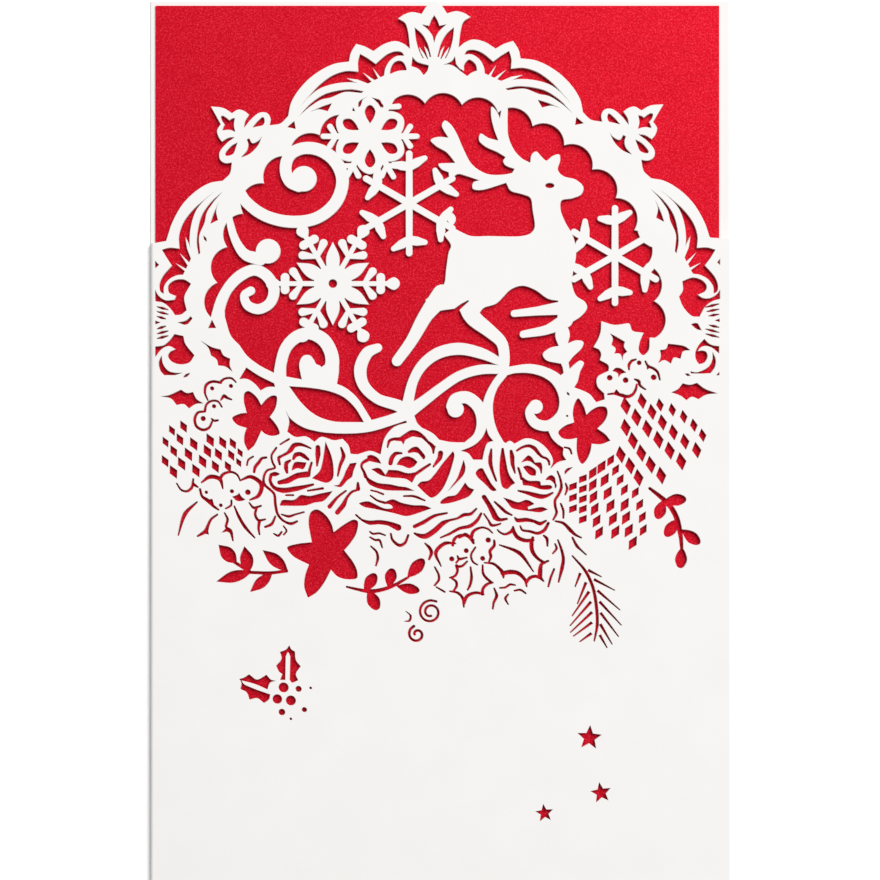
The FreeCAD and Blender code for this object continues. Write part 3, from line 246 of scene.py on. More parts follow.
def cubic_spans(points):
    """A smooth curve from the second point to the last but one, through those between."""
    out = [points[1]]
    for p0, p1, p2, p3 in zip(points, points[1:], points[2:], points[3:]):
        before, here, after = [max(1e-6, hypot(b[0] - a[0], b[1] - a[1]) ** 0.5)
                               for a, b in ((p0, p1), (p1, p2), (p2, p3))]
        leave = [p2[i] - p1[i] + here * ((p1[i] - p0[i]) / before - (p2[i] - p0[i]) / (before + here))
                 for i in (0, 1)]
        arrive = [p2[i] - p1[i] + here * ((p3[i] - p2[i]) / after - (p3[i] - p1[i]) / (here + after))
                  for i in (0, 1)]
        for step in range(1, SPAN_STEPS + 1):
            t = step / SPAN_STEPS
            out.append(tuple((2 * t ** 3 - 3 * t ** 2 + 1) * p1[i] + (t ** 3 - 2 * t ** 2 + t) * leave[i]
                             + (3 * t ** 2 - 2 * t ** 3) * p2[i] + (t ** 3 - t ** 2) * arrive[i]
                             for i in (0, 1)))
    return out


def curve(points):
    """A smooth open curve through the points."""
    flat = [tuple(p[:2]) for p in points]
    if len(flat) < 3:
        return flat
    lead = tuple(2 * a - b for a, b in zip(flat[0], flat[1]))
    trail = tuple(2 * a - b for a, b in zip(flat[-1], flat[-2]))
    return cubic_spans([lead, *flat, trail])


def path(points):
    """An open outline: smooth between its corners."""
    stops = [i for i, p in enumerate(points) if len(p) > 2 or i in (0, len(points) - 1)]
    out = []
    for a, b in zip(stops, stops[1:]):
        out += curve(points[a:b + 1])[:-1]
    return out + [tuple(points[-1][:2])]


def loop(points):
    """A closed outline: smooth between its corners, or all round where it has none."""
    corners = [i for i, p in enumerate(points) if len(p) > 2]
    if not corners:
        flat = [tuple(p[:2]) for p in points]
        return cubic_spans([flat[-1], *flat, flat[0], flat[1]])[:-1]
    first = corners[0]
    return path(points[first:] + points[:first] + [points[first]])[:-1]


# %% [markdown]
# A scroll or a stem is a ribbon: a line with a width at each point, and a round end. A slit is a ribbon
# that is widest in its middle, like the stroke of a pen.

# %% Ribbons and slits
ROUND_END = range(72, -73, -24)     # directions of the points round a ribbon's end
SLIT_END = 0.45                     # how wide a slit is at its ends, as a share of its middle


def sides_of(line, widths):
    """The two edges of a ribbon along a line."""
    left = []
    right = []
    for k, ((x, y), width) in enumerate(zip(line, widths)):
        ax, ay = line[max(k - 1, 0)]
        bx, by = line[min(k + 1, len(line) - 1)]
        length = max(1e-9, hypot(bx - ax, by - ay))
        nx = -(by - ay) / length * width / 2
        ny = (bx - ax) / length * width / 2
        left.append((x + nx, y + ny))
        right.append((x - nx, y - ny))
    return left, right


def stroke(points, widths):
    """A ribbon along a smooth line with round ends, one width for each point or one for all."""
    if isinstance(widths, float):
        widths = [widths] * len(points)
    line = curve(points)
    steps = (len(line) - 1) / (len(points) - 1)
    breadths = []
    for k in range(len(line)):
        i = min(int(k / steps), len(points) - 2)
        breadths.append(widths[i] + (widths[i + 1] - widths[i]) * (k / steps - i))
    left, right = sides_of(line, breadths)
    caps = []
    for tip, inner, breadth in ((line[-1], line[-2], breadths[-1]), (line[0], line[1], breadths[0])):
        heading = polar(inner, tip)[1]
        caps.append([at_polar(tip, breadth / 2, heading + turn) for turn in ROUND_END])
    return left + caps[0] + right[::-1] + caps[1]


def slit(width, *points):
    """A pen stroke cut out: widest in the middle."""
    if len(points) == 2:
        points = (points[0], tuple((a + b) / 2 for a, b in zip(*points)), points[1])
    last = len(points) - 1
    shares = [SLIT_END + (1 - SLIT_END) * sin(pi * k / last) for k in range(last + 1)]
    return stroke(list(points), [width * share for share in shares])


# %% [markdown]
# The small shapes that come back again and again: dots, stars, petals and leaves. A petal and a leaf are
# drawn along +X from their root and then turned to their place, so two points and a width describe them.

# %% Small shapes
DISC_SIDES = 28
STAR_WAIST = 0.45           # radius of a star's inner corners, as a share of its points'


def disc(centre, radius):
    return [at_polar(centre, radius, 360 * k / DISC_SIDES) for k in range(DISC_SIDES)]


def oval(centre, half_width, half_height):
    turns = [2 * pi * k / DISC_SIDES for k in range(DISC_SIDES)]
    return [(centre[0] + half_width * cos(t), centre[1] + half_height * sin(t)) for t in turns]


def star(centre, radius, angle):
    """A five pointed star."""
    return [at_polar(centre, radius * (STAR_WAIST if k % 2 else 1.0), angle + 36 * k) for k in range(10)]


def petal(root, tip, width, fullest=0.6):
    """Pointed at the root, blunt at the tip."""
    length, heading = polar(root, tip)
    half = width / 2
    upper = [(fullest * length / 2, half * 0.72), (fullest * length, half), (0.93 * length, half * 0.52)]
    lower = [(x, -y) for x, y in reversed(upper)]
    return loop(placed([C(0, 0), *upper, (length, 0), *lower], root, heading))


def leaf(root, tip, width):
    """Pointed at both ends."""
    length, heading = polar(root, tip)
    half = width / 2
    upper = [(0.3 * length, half * 0.85), (0.6 * length, half * 0.95)]
    lower = [(x, -y) for x, y in reversed(upper)]
    return loop(placed([C(0, 0), *upper, C(length, 0), *lower], root, heading))


# %% [markdown]
# ## Symmetry
# The round frame is drawn once, from its crest to the bow at its shoulder. It is mirrored on the upright
# axis, and it is carried over the bow to the side, where it is a little wider. The half beside the fold
# is drawn a little lower and nearer the middle, as a cut that was set up by eye.

# %% The medallion's symmetry
HUB = (-1.2, 25.4)          # its centre
BOW_ANGLE = 44.3            # direction of the bows, up from the horizontal
SIDE_SWELL = 0.04           # how much wider the medallion is at the side than at the top
LEFT_REACH = 57.8           # from the middle to the fold
LEFT_INSET = 1.8            # how much nearer the middle the drawing lies beside the fold than opposite
LEFT_DROP = 0.8             # how much lower it lies halfway there


def mirrored(points, axis=HUB[0]):
    return [moved_to(p, (2 * axis - p[0], p[1])) for p in reversed(points)]


def to_side(points):
    """An outline of the medallion's top, carried over the bow to its side."""
    reach = 90 - BOW_ANGLE
    out = []
    for p in reversed(points):
        radius, angle = polar(HUB, p)
        share = (90 - angle) / reach
        out.append(moved_to(p, at_polar(HUB, radius * (1 + SIDE_SWELL * (1 - share)), share * BOW_ANGLE)))
    return out


def left_half(points):
    """The mirror image beside the fold, a little narrower and lower."""
    out = []
    for p in mirrored(points):
        share = min(1.0, max(0.0, (HUB[0] - p[0]) / LEFT_REACH))
        drop = LEFT_DROP * sin(pi * share)
        out.append(moved_to(p, (p[0] + LEFT_INSET * share ** 2, p[1] - drop)))
    return out


def both(points):
    return [points, left_half(points)]


def all_four(points):
    return both(points) + both(to_side(points))


# %% [markdown]
# ## The sheet's outline
# The lower part of the front leaf is plain card up to two low shoulders. The medallion stands on it. Its
# crest, wave, leaf tip, shell and bow are drawn once each, and the rest of its rim follows by symmetry.

# %% Outline
CREST = [C(-1.2, 92.5), (0.3, 91.3), C(1.4, 89.7), (3.4, 90.15), (5.0, 89.75), C(6.3, 89.0), (4.8, 88.0),
         (4.2, 86.2), C(3.8, 82.6)]
WAVE = [(5.2, 83.7), (6.9, 84.3), (9.2, 83.8), C(11.5, 82.4)]
LEAF_TIP = [(13.3, 83.4), C(15.1, 84.0), (16.2, 82.2), C(16.6, 80.4)]
SHELL = [(20.0, 79.9), (24.0, 77.8), (27.0, 75.0), (28.9, 72.0), C(29.5, 69.3), (31.2, 67.7),
         C(33.6, 67.3)]
BOW = [(33.4, 68.7), (34.1, 69.8), (35.6, 69.9), (37.5, 68.5), C(39.1, 66.6), (38.9, 68.0), C(38.0, 69.4),
       (39.0, 70.1), (40.3, 70.4), C(41.7, 69.6), (43.5, 70.6), C(46.2, 70.9)]
SHELL_FOOT = C(56.1, 42.4)      # where the last shell meets the panel
PANEL_CORNER = (50.0, 36.0)     # inside the panel, where the medallion's outline ends
SHOULDER_LEFT = 42.2            # where the front leaf steps down beside the medallion
SHOULDER_RIGHT = 43.1
LEFT_LEDGE = 3.4                # how far each shoulder runs in from its side, and how it rises there
LEFT_RISE = 0.4
RIGHT_LEDGE = 4.2
RIGHT_RISE = 0.2


def panel_outline():
    """The plain lower part of the front leaf, from the end of the bend and up to its shoulders."""
    half_width = BOARD_WIDTH / 2
    half_height = BOARD_HEIGHT / 2
    bend_end = BEND_RADIUS * BOARD_WIDTH / CARD_WIDTH - half_width
    return [(bend_end, -half_height), (half_width, -half_height), (half_width, SHOULDER_RIGHT),
            (half_width - RIGHT_LEDGE, SHOULDER_RIGHT + RIGHT_RISE),
            (LEFT_LEDGE - half_width, SHOULDER_LEFT + LEFT_RISE), (bend_end, SHOULDER_LEFT)]


def medallion_outline():
    """Crest, waves, shells and bows, worked out once and mirrored."""
    side = to_side(SHELL + BOW)[1:]
    half = path(CREST + WAVE + LEAF_TIP + SHELL + BOW + side + [SHELL_FOOT, PANEL_CORNER])
    return half + left_half(half)[:-1]


# %% [markdown]
# ## Holes in the medallion
# Long crescents follow the shells, and thin spikes of card stand in them like a feather's barbs. The
# crest is a tulip, the bows have a star for a knot, and a curl with a comb of slits sits at each side.

# %% Holes in the shells
def crescent_hole():
    return loop([
        C(5.0, 81.2), (5.5, 82.0), (6.8, 82.25), (8.6, 81.7), C(11.0, 79.8), (12.6, 81.0), C(14.3, 82.0),
        (14.8, 80.3), C(14.7, 78.3), (17.2, 78.5), (20.0, 77.7), (22.8, 75.8), (25.0, 73.6), C(27.2, 71.0),
        (25.3, 73.0), (23.0, 74.8), (20.0, 75.8), (16.5, 76.1), C(12.9, 75.6), C(9.2, 77.3), (9.0, 78.6),
        (8.1, 80.2), (6.6, 81.2)])


def crescent_spikes():
    """Thin points of card that stand in the crescent hole."""
    return [[(9.8, 76.6), (10.3, 76.4), (11.6, 79.0)], [(11.0, 76.2), (11.6, 75.9), (13.7, 78.1)],
            [(12.4, 75.6), (13.2, 75.2), (15.2, 76.1), (17.1, 77.0), (14.8, 76.6)]]


def stream_hole():
    return loop([C(13.5, 74.2), (16.0, 74.7), (19.0, 74.5), (22.0, 73.7), (25.0, 71.7), C(27.4, 69.1),
                 (25.0, 71.1), (22.5, 72.6), (20.5, 73.0), (17.5, 74.1), C(14.0, 73.8)])


def comet_hole():
    return loop([C(20.2, 71.9), (22.5, 71.2), C(25.0, 70.1), (23.0, 70.6), C(21.1, 70.2)])


def arch_hole():
    return loop([C(8.1, 77.5), (7.9, 78.8), (7.2, 79.9), (6.1, 80.3), (5.2, 79.9), (4.6, 78.8),
                 C(4.5, 78.2), (6.3, 78.1)])


# %% Holes in the crest and the bows
def crest_holes():
    flame = [C(-1.2, 89.4), (-0.5, 88.3), C(-0.1, 87.2), C(1.4, 87.5), (0.3, 86.5), (-0.7, 85.2),
             C(-1.2, 83.6)]
    side = loop([
        C(2.9, 86.9), (1.3, 85.5), (0.1, 83.4), C(-0.6, 80.7), C(-0.2, 80.7), (0.2, 82.0), C(0.9, 83.0),
        (0.5, 81.8), C(0.0, 80.2), C(0.3, 80.3), (1.0, 81.5), C(1.9, 82.8), (1.5, 81.6), C(0.9, 80.4),
        C(1.3, 80.5), (2.1, 82.2), (2.7, 84.5)])
    wedge = loop([C(-5.7, 80.8), (-4.8, 79.8), C(-2.3, 79.0), (-2.6, 77.8), C(-3.4, 76.9), (-4.5, 78.2),
                  C(-6.0, 78.8)])
    right_wedge = loop([
        C(3.1, 80.9), (2.4, 79.9), C(0.6, 79.1), (2.0, 79.1), (3.0, 78.7), (4.0, 77.9), C(5.6, 76.7),
        (6.5, 77.4), C(7.7, 77.9), (7.4, 79.2), (6.0, 80.2), (4.9, 79.0), C(4.95, 77.9), (4.1, 78.4),
        C(3.35, 79.3)])
    return [loop(flame + mirrored(flame)[1:-1]), side, mirrored(side), wedge, right_wedge]


def bow_holes():
    knot_star = loop([
        C(41.0, 68.7), (41.6, 68.6), C(42.2, 68.2), (42.9, 68.75), (43.6, 69.1), (44.1, 68.9),
        (43.9, 68.0), C(43.3, 67.2), (43.6, 66.7), C(43.8, 66.0), (42.3, 66.15), C(40.9, 65.8),
        (41.2, 67.2)])
    upper_ribbon = loop([C(37.35, 66.75), (36.2, 67.0), (34.9, 67.35), (34.55, 68.3), (34.9, 69.05),
                         (36.0, 68.3)])
    lower_ribbon = loop([C(40.4, 63.7), (41.8, 62.9), (43.2, 61.2), (43.0, 60.75), (41.4, 61.2),
                         (40.8, 62.5)])
    under = loop([C(35.1, 65.1), (36.0, 64.1), (37.2, 63.6), C(37.9, 64.6), C(38.5, 64.3), (38.2, 63.2),
                  (38.5, 62.0), C(39.8, 60.5), (37.8, 61.3), (36.0, 63.1)])
    chip = [(28.2, 68.3), (29.8, 67.0), (27.9, 66.6)]
    return [hole for shape in (knot_star, upper_ribbon, lower_ribbon, under, chip) for hole in both(shape)]


# %% Curls at the sides
def left_curl_holes():
    """The curls beside the fold."""
    upper = loop([
        C(-51.5, 33.8), (-53.0, 34.7), (-55.0, 34.5), (-56.3, 33.4), (-56.2, 31.9), C(-54.7, 31.2),
        C(-55.0, 30.5), (-56.8, 30.4), (-58.2, 31.3), C(-59.0, 32.7), C(-59.0, 30.1), (-57.4, 29.8),
        (-56.0, 28.7), C(-54.9, 27.2), (-53.5, 27.4), C(-52.4, 28.3), (-52.9, 31.0)])
    lower = loop([
        C(-55.0, 23.4), C(-53.1, 23.0), (-52.7, 21.4), C(-50.8, 19.0), (-51.8, 17.5), (-53.6, 17.0),
        (-55.6, 17.6), (-56.4, 18.8), (-55.9, 19.7), C(-54.8, 20.2), (-56.2, 20.8), (-57.6, 20.2),
        C(-59.0, 18.5), C(-59.0, 20.8), (-57.2, 21.1), (-55.9, 22.2)])
    crescent = loop([C(-57.6, 19.0), (-58.3, 17.5), (-58.0, 15.8), C(-57.2, 14.8), C(-56.0, 14.8),
                     (-54.8, 14.8), C(-53.2, 15.4), (-54.8, 15.4), (-56.2, 15.8), (-57.3, 17.2)])
    wedge = loop([C(-54.4, 25.8), (-52.6, 26.2), C(-51.6, 27.1), C(-51.2, 26.6), (-52.2, 25.4),
                  C(-53.0, 25.2)])
    return [upper, lower, crescent, wedge]


def right_curl_holes():
    """Their partners at the open edge, which are rounder."""
    upper = loop([
        C(50.1, 34.3), (52.3, 35.1), (54.3, 34.5), (55.2, 33.4), (54.9, 32.2), C(53.4, 31.5), (54.3, 30.9),
        (55.7, 30.8), (57.2, 31.6), C(58.0, 32.6), C(58.0, 30.6), (56.4, 30.1), (55.0, 29.1),
        C(53.7, 26.9), (52.2, 27.0), (50.3, 28.9), C(49.4, 31.1), (50.2, 32.4)])
    swirl = loop([
        C(54.7, 22.4), (53.5, 21.1), (52.8, 19.6), (52.9, 18.1), C(53.6, 17.05), (54.7, 17.4),
        (55.4, 18.7), (55.1, 19.7), (54.3, 20.0), C(53.4, 19.85), (53.9, 20.5), (54.9, 20.85),
        (56.2, 20.5), C(57.8, 19.3), C(57.8, 20.9), (56.4, 21.1), (55.5, 21.6)])
    crescent = loop([
        C(56.4, 19.8), (57.1, 18.1), (56.9, 16.5), C(56.0, 15.2), (54.3, 15.1), C(51.9, 15.15),
        C(51.8, 15.7), (53.0, 15.5), (54.4, 15.9), (55.7, 16.8), (56.3, 18.1)])
    wedge = loop([C(51.9, 25.4), (52.7, 25.7), C(53.4, 25.6), C(54.2, 24.1), (53.1, 24.3)])
    return [upper, swirl, crescent, wedge]


def medallion_holes():
    shells = [hole for shape in (crescent_hole(), stream_hole(), comet_hole()) for hole in all_four(shape)]
    return [*shells, left_half(arch_hole()), *crest_holes(), *bow_holes(), *left_curl_holes(),
            *right_curl_holes()]


# %% [markdown]
# ## Geometry Nodes for what repeats
# Three trees make the repeats. The first sets copies of one motif round a centre: six arms make a
# snowflake, and nineteen lobes make the scalloped edge of the window. Each tree ends in Realize
# Instances, because an instance is only a reference and the finished card needs real outlines.

# %% Meshes and objects
def new_mesh(name, points, edges=(), faces=()):
    mesh = bpy.data.meshes.new(name)
    mesh.from_pydata(list(points), list(edges), list(faces))
    return mesh


def add_object(name, data):
    """A new object at the origin of the scene."""
    made = bpy.data.objects.new(name, data)
    bpy.context.scene.collection.objects.link(made)
    return made


def evaluated_mesh(thing):
    """The plain mesh that an object's modifiers make of it."""
    bpy.context.view_layer.update()
    evaluated = thing.evaluated_get(bpy.context.evaluated_depsgraph_get())
    return bpy.data.meshes.new_from_object(evaluated)


# %% A tree of our own
def new_tree(name, inputs):
    """A Geometry Nodes tree with a Geometry input and output and the named inputs."""
    tree = bpy.data.node_groups.new(name, "GeometryNodeTree")
    tree.interface.new_socket("Geometry", in_out="INPUT", socket_type="NodeSocketGeometry")
    for title, kind, value in inputs:
        socket = tree.interface.new_socket(title, in_out="INPUT", socket_type="NodeSocket" + kind)
        if value is not None:
            socket.default_value = value
    tree.interface.new_socket("Geometry", in_out="OUTPUT", socket_type="NodeSocketGeometry")
    return tree, node(tree, "NodeGroupInput").outputs


def end_tree(tree, geometry, material):
    """Ends a tree in Realize Instances and Set Material."""
    real = node(tree, "GeometryNodeRealizeInstances", {"Geometry": geometry})
    dressed = node(tree, "GeometryNodeSetMaterial", {"Geometry": real, "Material": material})
    node(tree, "NodeGroupOutput", {"Geometry": dressed})


def flat_mesh(name, outlines):
    """A mesh with one flat face for each outline."""
    points = [(p[0], p[1], 0.0) for outline in outlines for p in outline]
    faces = []
    for outline in outlines:
        first = faces[-1][-1] + 1 if faces else 0
        faces.append(tuple(range(first, first + len(outline))))
    return new_mesh(name, points, faces=faces)


def run_tree(tree, mesh, values):
    """Runs a tree on a mesh and returns the plain mesh that it makes."""
    carrier = add_object(tree.name, mesh)
    modifier = carrier.modifiers.new(tree.name, "NODES")
    modifier.node_group = tree
    for item in tree.interface.items_tree:
        if item.item_type == "SOCKET" and item.in_out == "INPUT" and item.name in values:
            modifier[item.identifier] = values[item.name]
    plain = evaluated_mesh(carrier)
    bpy.data.objects.remove(carrier)
    return plain


def outlines_of(mesh):
    """Each face of a flat mesh as an outline."""
    return [[tuple(mesh.vertices[v].co[:2]) for v in face.vertices] for face in mesh.polygons]


# %% Tree 1: copies round a centre
def round_tree():
    tree, given = new_tree("copies_round_a_centre", [
        ("Copies", "Int", 6), ("First Angle", "Float", 0.0), ("Step Angle", "Float", radians(60)),
        ("Centre", "Vector", None)])
    points = node(tree, "GeometryNodePoints", {"Count": given["Copies"], "Position": given["Centre"]})
    count = node(tree, "GeometryNodeInputIndex")
    angle = node(tree, "ShaderNodeMath", {0: count, 1: given["Step Angle"], 2: given["First Angle"]},
                 operation="MULTIPLY_ADD")
    turn = node(tree, "ShaderNodeCombineXYZ", {"Z": angle})
    copies = node(tree, "GeometryNodeInstanceOnPoints", {
        "Points": points, "Instance": given["Geometry"], "Rotation": turn})
    end_tree(tree, copies, WHITE)
    return tree


ROUND_TREE = round_tree()
print("tree:", ROUND_TREE.name, "of", len(ROUND_TREE.nodes), "nodes")


def copies_round(centre, outlines, copies=6, first=0.0, step=60.0):
    """The outlines, drawn about (0, 0) along +X, copied round a centre."""
    made = run_tree(ROUND_TREE, flat_mesh("motif", outlines),
                    {"Copies": copies, "First Angle": radians(first), "Step Angle": radians(step),
                     "Centre": (*centre, 0.0)})
    return outlines_of(made)


# %% [markdown]
# ## The window
# The window's edge is a ring of shallow lobes, all alike. One lobe is worked out from its chord and its
# rise, and the first tree copies it round the hub. Below, the edge runs along the tops of the flowers,
# which follow no rule, so that stretch is given point by point.

# %% Window
LOBE_COUNT = 19             # the scallops of the ring's inner edge
LOBE_STEPS = 16             # facets of one lobe
LOBE_PITCH = 9.6            # degrees from one cusp to the next
LOBE_RISE = 2.3             # how far a lobe bulges out past its two cusps
CUSP_RADIUS = 45.8          # from the hub to the cusps
CUSP_START = 82.8           # direction of the cusp beside the top
FIRST_CUSP = -9             # the first one, counted from there
FLORAL_EDGE = [
    C(-44.6, 26.9), (-43.4, 23.0), C(-41.6, 21.0), (-40.0, 18.8), (-37.4, 16.8), C(-34.2, 15.2),
    C(-31.9, 14.5), C(-27.7, 13.8), C(-23.7, 13.6), (-20.0, 12.4), (-17.3, 10.2), C(-14.2, 5.5),
    (-11.0, 6.4), C(-8.3, 7.4), C(-5.4, 6.5), (-4.8, 4.9), C(-3.8, 3.9), (-1.5, 2.7), C(-0.2, 1.4),
    (2.5, 0.9), C(6.0, 0.9), C(9.4, 3.2), C(11.4, 2.0), C(13.6, 0.7), (14.4, 1.2), C(15.4, 0.6),
    (17.8, 1.7), (20.0, 1.2), (22.2, -0.6), (23.3, -2.8), C(22.8, -4.6), (24.3, -3.3), C(26.2, -2.7),
    (25.5, -1.6), C(25.6, -0.2), (24.4, 0.6), (23.2, 1.8), C(22.4, 3.4), C(24.4, 4.4), (25.9, 6.8),
    (26.2, 10.0), (25.4, 12.5), C(24.3, 14.2), C(25.6, 15.3), (25.4, 16.5), C(24.9, 17.6), C(26.5, 17.6),
    C(26.8, 16.1), (27.9, 17.1), (29.0, 17.8), (29.7, 17.4), (28.9, 15.5), (28.4, 13.5), C(27.7, 12.3),
    (29.5, 11.6), (31.0, 10.8), C(32.3, 9.2), C(34.1, 9.8), C(34.0, 11.1), (32.6, 12.6), (32.6, 14.4),
    C(34.9, 15.7), (34.9, 16.9), C(33.1, 18.0), (33.4, 19.2), (32.9, 20.2), C(31.8, 20.7), (32.7, 22.2),
    (33.3, 24.0), C(33.4, 26.0), (36.0, 25.2), C(39.2, 25.6), (39.8, 24.0), C(42.1, 23.6), (41.3, 21.8),
    (41.1, 19.9), (42.0, 18.9), (43.2, 20.0), C(43.4, 22.6)]


def lobe():
    """One lobe along +X from the hub: a shallow arc that tapers back into the open middle."""
    half_chord = CUSP_RADIUS * sin(radians(LOBE_PITCH / 2))
    radius = (half_chord ** 2 + LOBE_RISE ** 2) / (2 * LOBE_RISE)
    centre = (CUSP_RADIUS * cos(radians(LOBE_PITCH / 2)) + LOBE_RISE - radius, 0.0)
    swing = degrees(atan2(half_chord, radius - LOBE_RISE))
    rim = [at_polar(centre, radius, swing * (2 * k / LOBE_STEPS - 1)) for k in range(LOBE_STEPS + 1)]
    return rim + [(CUSP_RADIUS - 3 * LOBE_RISE, 0.0)]


def window_outlines():
    """The lobes, and the open middle that joins their cusps to the floral edge."""
    cusps = [at_polar(HUB, CUSP_RADIUS, CUSP_START + LOBE_PITCH * (FIRST_CUSP + k))
             for k in range(LOBE_COUNT + 1)]
    middle = cusps + path([C(*cusps[-1]), *FLORAL_EDGE])[1:]
    first = CUSP_START + LOBE_PITCH * (FIRST_CUSP + 0.5)
    return [middle, *copies_round(HUB, [lobe()], LOBE_COUNT, first, LOBE_PITCH)]


# %% [markdown]
# ## Snowflakes
# Four snowflakes of three kinds hang in the window. One arm of each is drawn, pointing along +X, and the
# first tree copies it six times. Six arms drawn by hand would never be quite alike.

# %% Snowflakes
def looped_snowflake(centre):
    """Six looped petals with forked arms between; returns its card and its holes."""
    petals = copies_round(centre, [petal((0.2, 0.0), (7.8, 0.0), 5.4, 0.7)], first=90)
    holes = copies_round(centre, [petal((2.6, 0.0), (6.5, 0.0), 2.3, 0.66)], first=90)
    fork = [stroke([(7.0, 0.0), at_polar((7.0, 0.0), 2.4, turn)], [0.9, 1.1]) for turn in (57, -57)]
    arms = copies_round(centre, [stroke([(3.0, 0.0), (9.7, 0.0)], [1.5, 1.0]), *fork], first=60)
    return [disc(centre, 3.4), *petals, *arms], holes


def barbed_snowflake(centre, size):
    """Six straight arms, each with a leaning barb on one side and an upright one on the other."""
    root = (7.6 * size, 0.0)
    barbs = [stroke([root, at_polar(root, barb / 2, turn), at_polar(root, barb, turn)], [1.8, 1.8, 1.0])
             for barb, turn in ((3.7 * size, -61), (3.3 * size, 82))]
    arm = stroke([(0.0, 0.0), (10.3 * size, 0.0)], [1.35, 1.25])
    return [disc(centre, 1.4 * size), *copies_round(centre, [arm, *barbs], first=90)]


def star_snowflake(centre):
    """Six pointed petals round an eye, with branching ball-ended arms between."""
    petals = copies_round(centre, [leaf((1.0, 0.0), (8.6, 0.0), 2.7)], first=90)
    arm = [stroke([(0.0, 0.0), (12.0, 0.0)], [1.0, 0.9]), petal((10.7, 0.0), (13.8, 0.0), 2.5, 0.66),
           stroke([(9.9, 1.3), (9.9, 0.0), (9.9, -1.3)], [1.7, 1.6, 1.7])]
    arm += [stroke([(6.4, 0.0), at_polar((6.4, 0.0), 3.1, turn)], [0.7, 1.6]) for turn in (54, -54)]
    return [disc(centre, 3.9), *petals, *copies_round(centre, arm, first=60)], [disc(centre, 0.95)]


# %% [markdown]
# ## Scrolls and the reindeer
# The scrolls are ribbons that swell along their length and end in balls. The reindeer is one silhouette
# with its legs and antlers laid over it, which is how a paper cutter would plan it.

# %% Scrolls
def scrolls():
    """The scrollwork under and beside the snowflakes: ribbons that end in balls."""
    upper = stroke([(-42.6, 54.5), (-40.4, 51.0), (-36.5, 48.0), (-31.0, 46.6), (-25.5, 47.4),
                    (-21.6, 50.6), (-20.2, 55.2), (-21.6, 59.0), (-24.8, 61.4), (-28.4, 61.8),
                    (-31.2, 60.3), (-32.0, 57.3), (-31.0, 54.9), (-29.2, 54.1)],
                   [2.6, 2.2, 2.3, 2.4, 2.4, 2.5, 2.5, 2.6, 2.5, 2.4, 2.4, 2.3, 2.4, 2.6])
    tail = stroke([(-44.2, 51.0), (-43.6, 46.8), (-42.3, 42.6), (-40.3, 39.8), (-37.2, 38.9)],
                  [1.8, 1.3, 1.6, 2.1, 2.6])
    large = stroke([(-46.0, 24.0), (-45.8, 28.4), (-44.2, 32.4), (-41.4, 35.4), (-38.4, 36.6),
                    (-35.9, 35.4), (-34.4, 32.6), (-35.2, 29.8), (-37.6, 28.5), (-39.9, 29.4),
                    (-40.5, 31.4), (-39.2, 32.3)],
                   [3.6, 2.3, 2.1, 2.3, 2.2, 2.2, 2.2, 2.1, 2.0, 1.8, 1.6, 1.7])
    arch = stroke([(-33.2, 12.0), (-33.0, 17.0), (-31.8, 20.7), (-29.6, 22.8), (-27.0, 23.5),
                   (-24.2, 22.2), (-22.6, 19.5), (-22.4, 16.8), (-24.0, 13.4)],
                  [2.8, 2.2, 2.3, 2.5, 2.4, 2.6, 2.6, 2.8, 5.6])
    arch_foot = loop([C(-28.2, 12.6), (-28.8, 15.0), (-29.1, 17.3), (-28.3, 18.8), (-27.0, 18.9),
                      (-26.2, 18.0), (-25.7, 17.1), (-25.0, 16.8), C(-23.0, 15.0), C(-23.0, 12.6)])
    hook = stroke([(-12.9, 20.5), (-15.0, 19.5), (-16.5, 16.2), (-15.9, 12.9), (-13.0, 10.0), (-8.4, 8.4),
                   (-6.6, 6.9)], [1.7, 2.3, 2.5, 2.2, 2.0, 2.3, 2.4])
    high_sweep = stroke([(12.9, 17.4), (8.4, 19.4), (3.8, 20.3), (-0.4, 19.4), (-3.6, 17.0), (-5.6, 13.6),
                         (-6.9, 8.0)], [1.4, 2.2, 2.4, 2.3, 2.1, 1.9, 2.3])
    low_sweep = stroke([(13.0, 16.0), (8.4, 16.0), (4.0, 14.7), (0.2, 12.2), (-3.2, 9.6), (-6.8, 7.0)],
                       [1.7, 1.9, 1.9, 1.9, 2.1, 2.6])
    small_curl = stroke([(5.2, -0.4), (7.9, 2.0), (8.8, 5.0), (8.0, 8.2), (5.6, 10.2), (3.2, 9.8),
                         (2.5, 8.4)], [2.2, 2.2, 2.4, 2.4, 2.4, 2.4, 2.4])
    riser = stroke([(13.2, 15.3), (11.2, 12.6), (10.0, 9.5), (9.9, 6.2), (10.9, 3.0), (12.8, -0.4)],
                   [1.6, 1.5, 1.9, 2.2, 1.9, 1.9])
    round_curl = stroke([(12.8, 15.4), (15.4, 16.0), (18.6, 16.2), (21.8, 15.4), (24.4, 13.6),
                         (25.9, 10.0), (25.2, 6.6), (22.4, 4.4), (19.6, 5.0), (18.5, 7.2), (19.4, 8.6)],
                        [1.6, 1.4, 1.8, 2.0, 2.4, 2.4, 2.2, 2.1, 2.0, 1.7, 1.8])
    balls = [disc((-28.2, 55.5), 2.6), disc((-35.6, 40.5), 2.5), disc((3.2, 7.8), 1.65),
             disc((19.8, 8.3), 1.4)]
    return [upper, tail, large, arch, arch_foot, hook, high_sweep, low_sweep, small_curl, riser,
            round_curl, *balls]


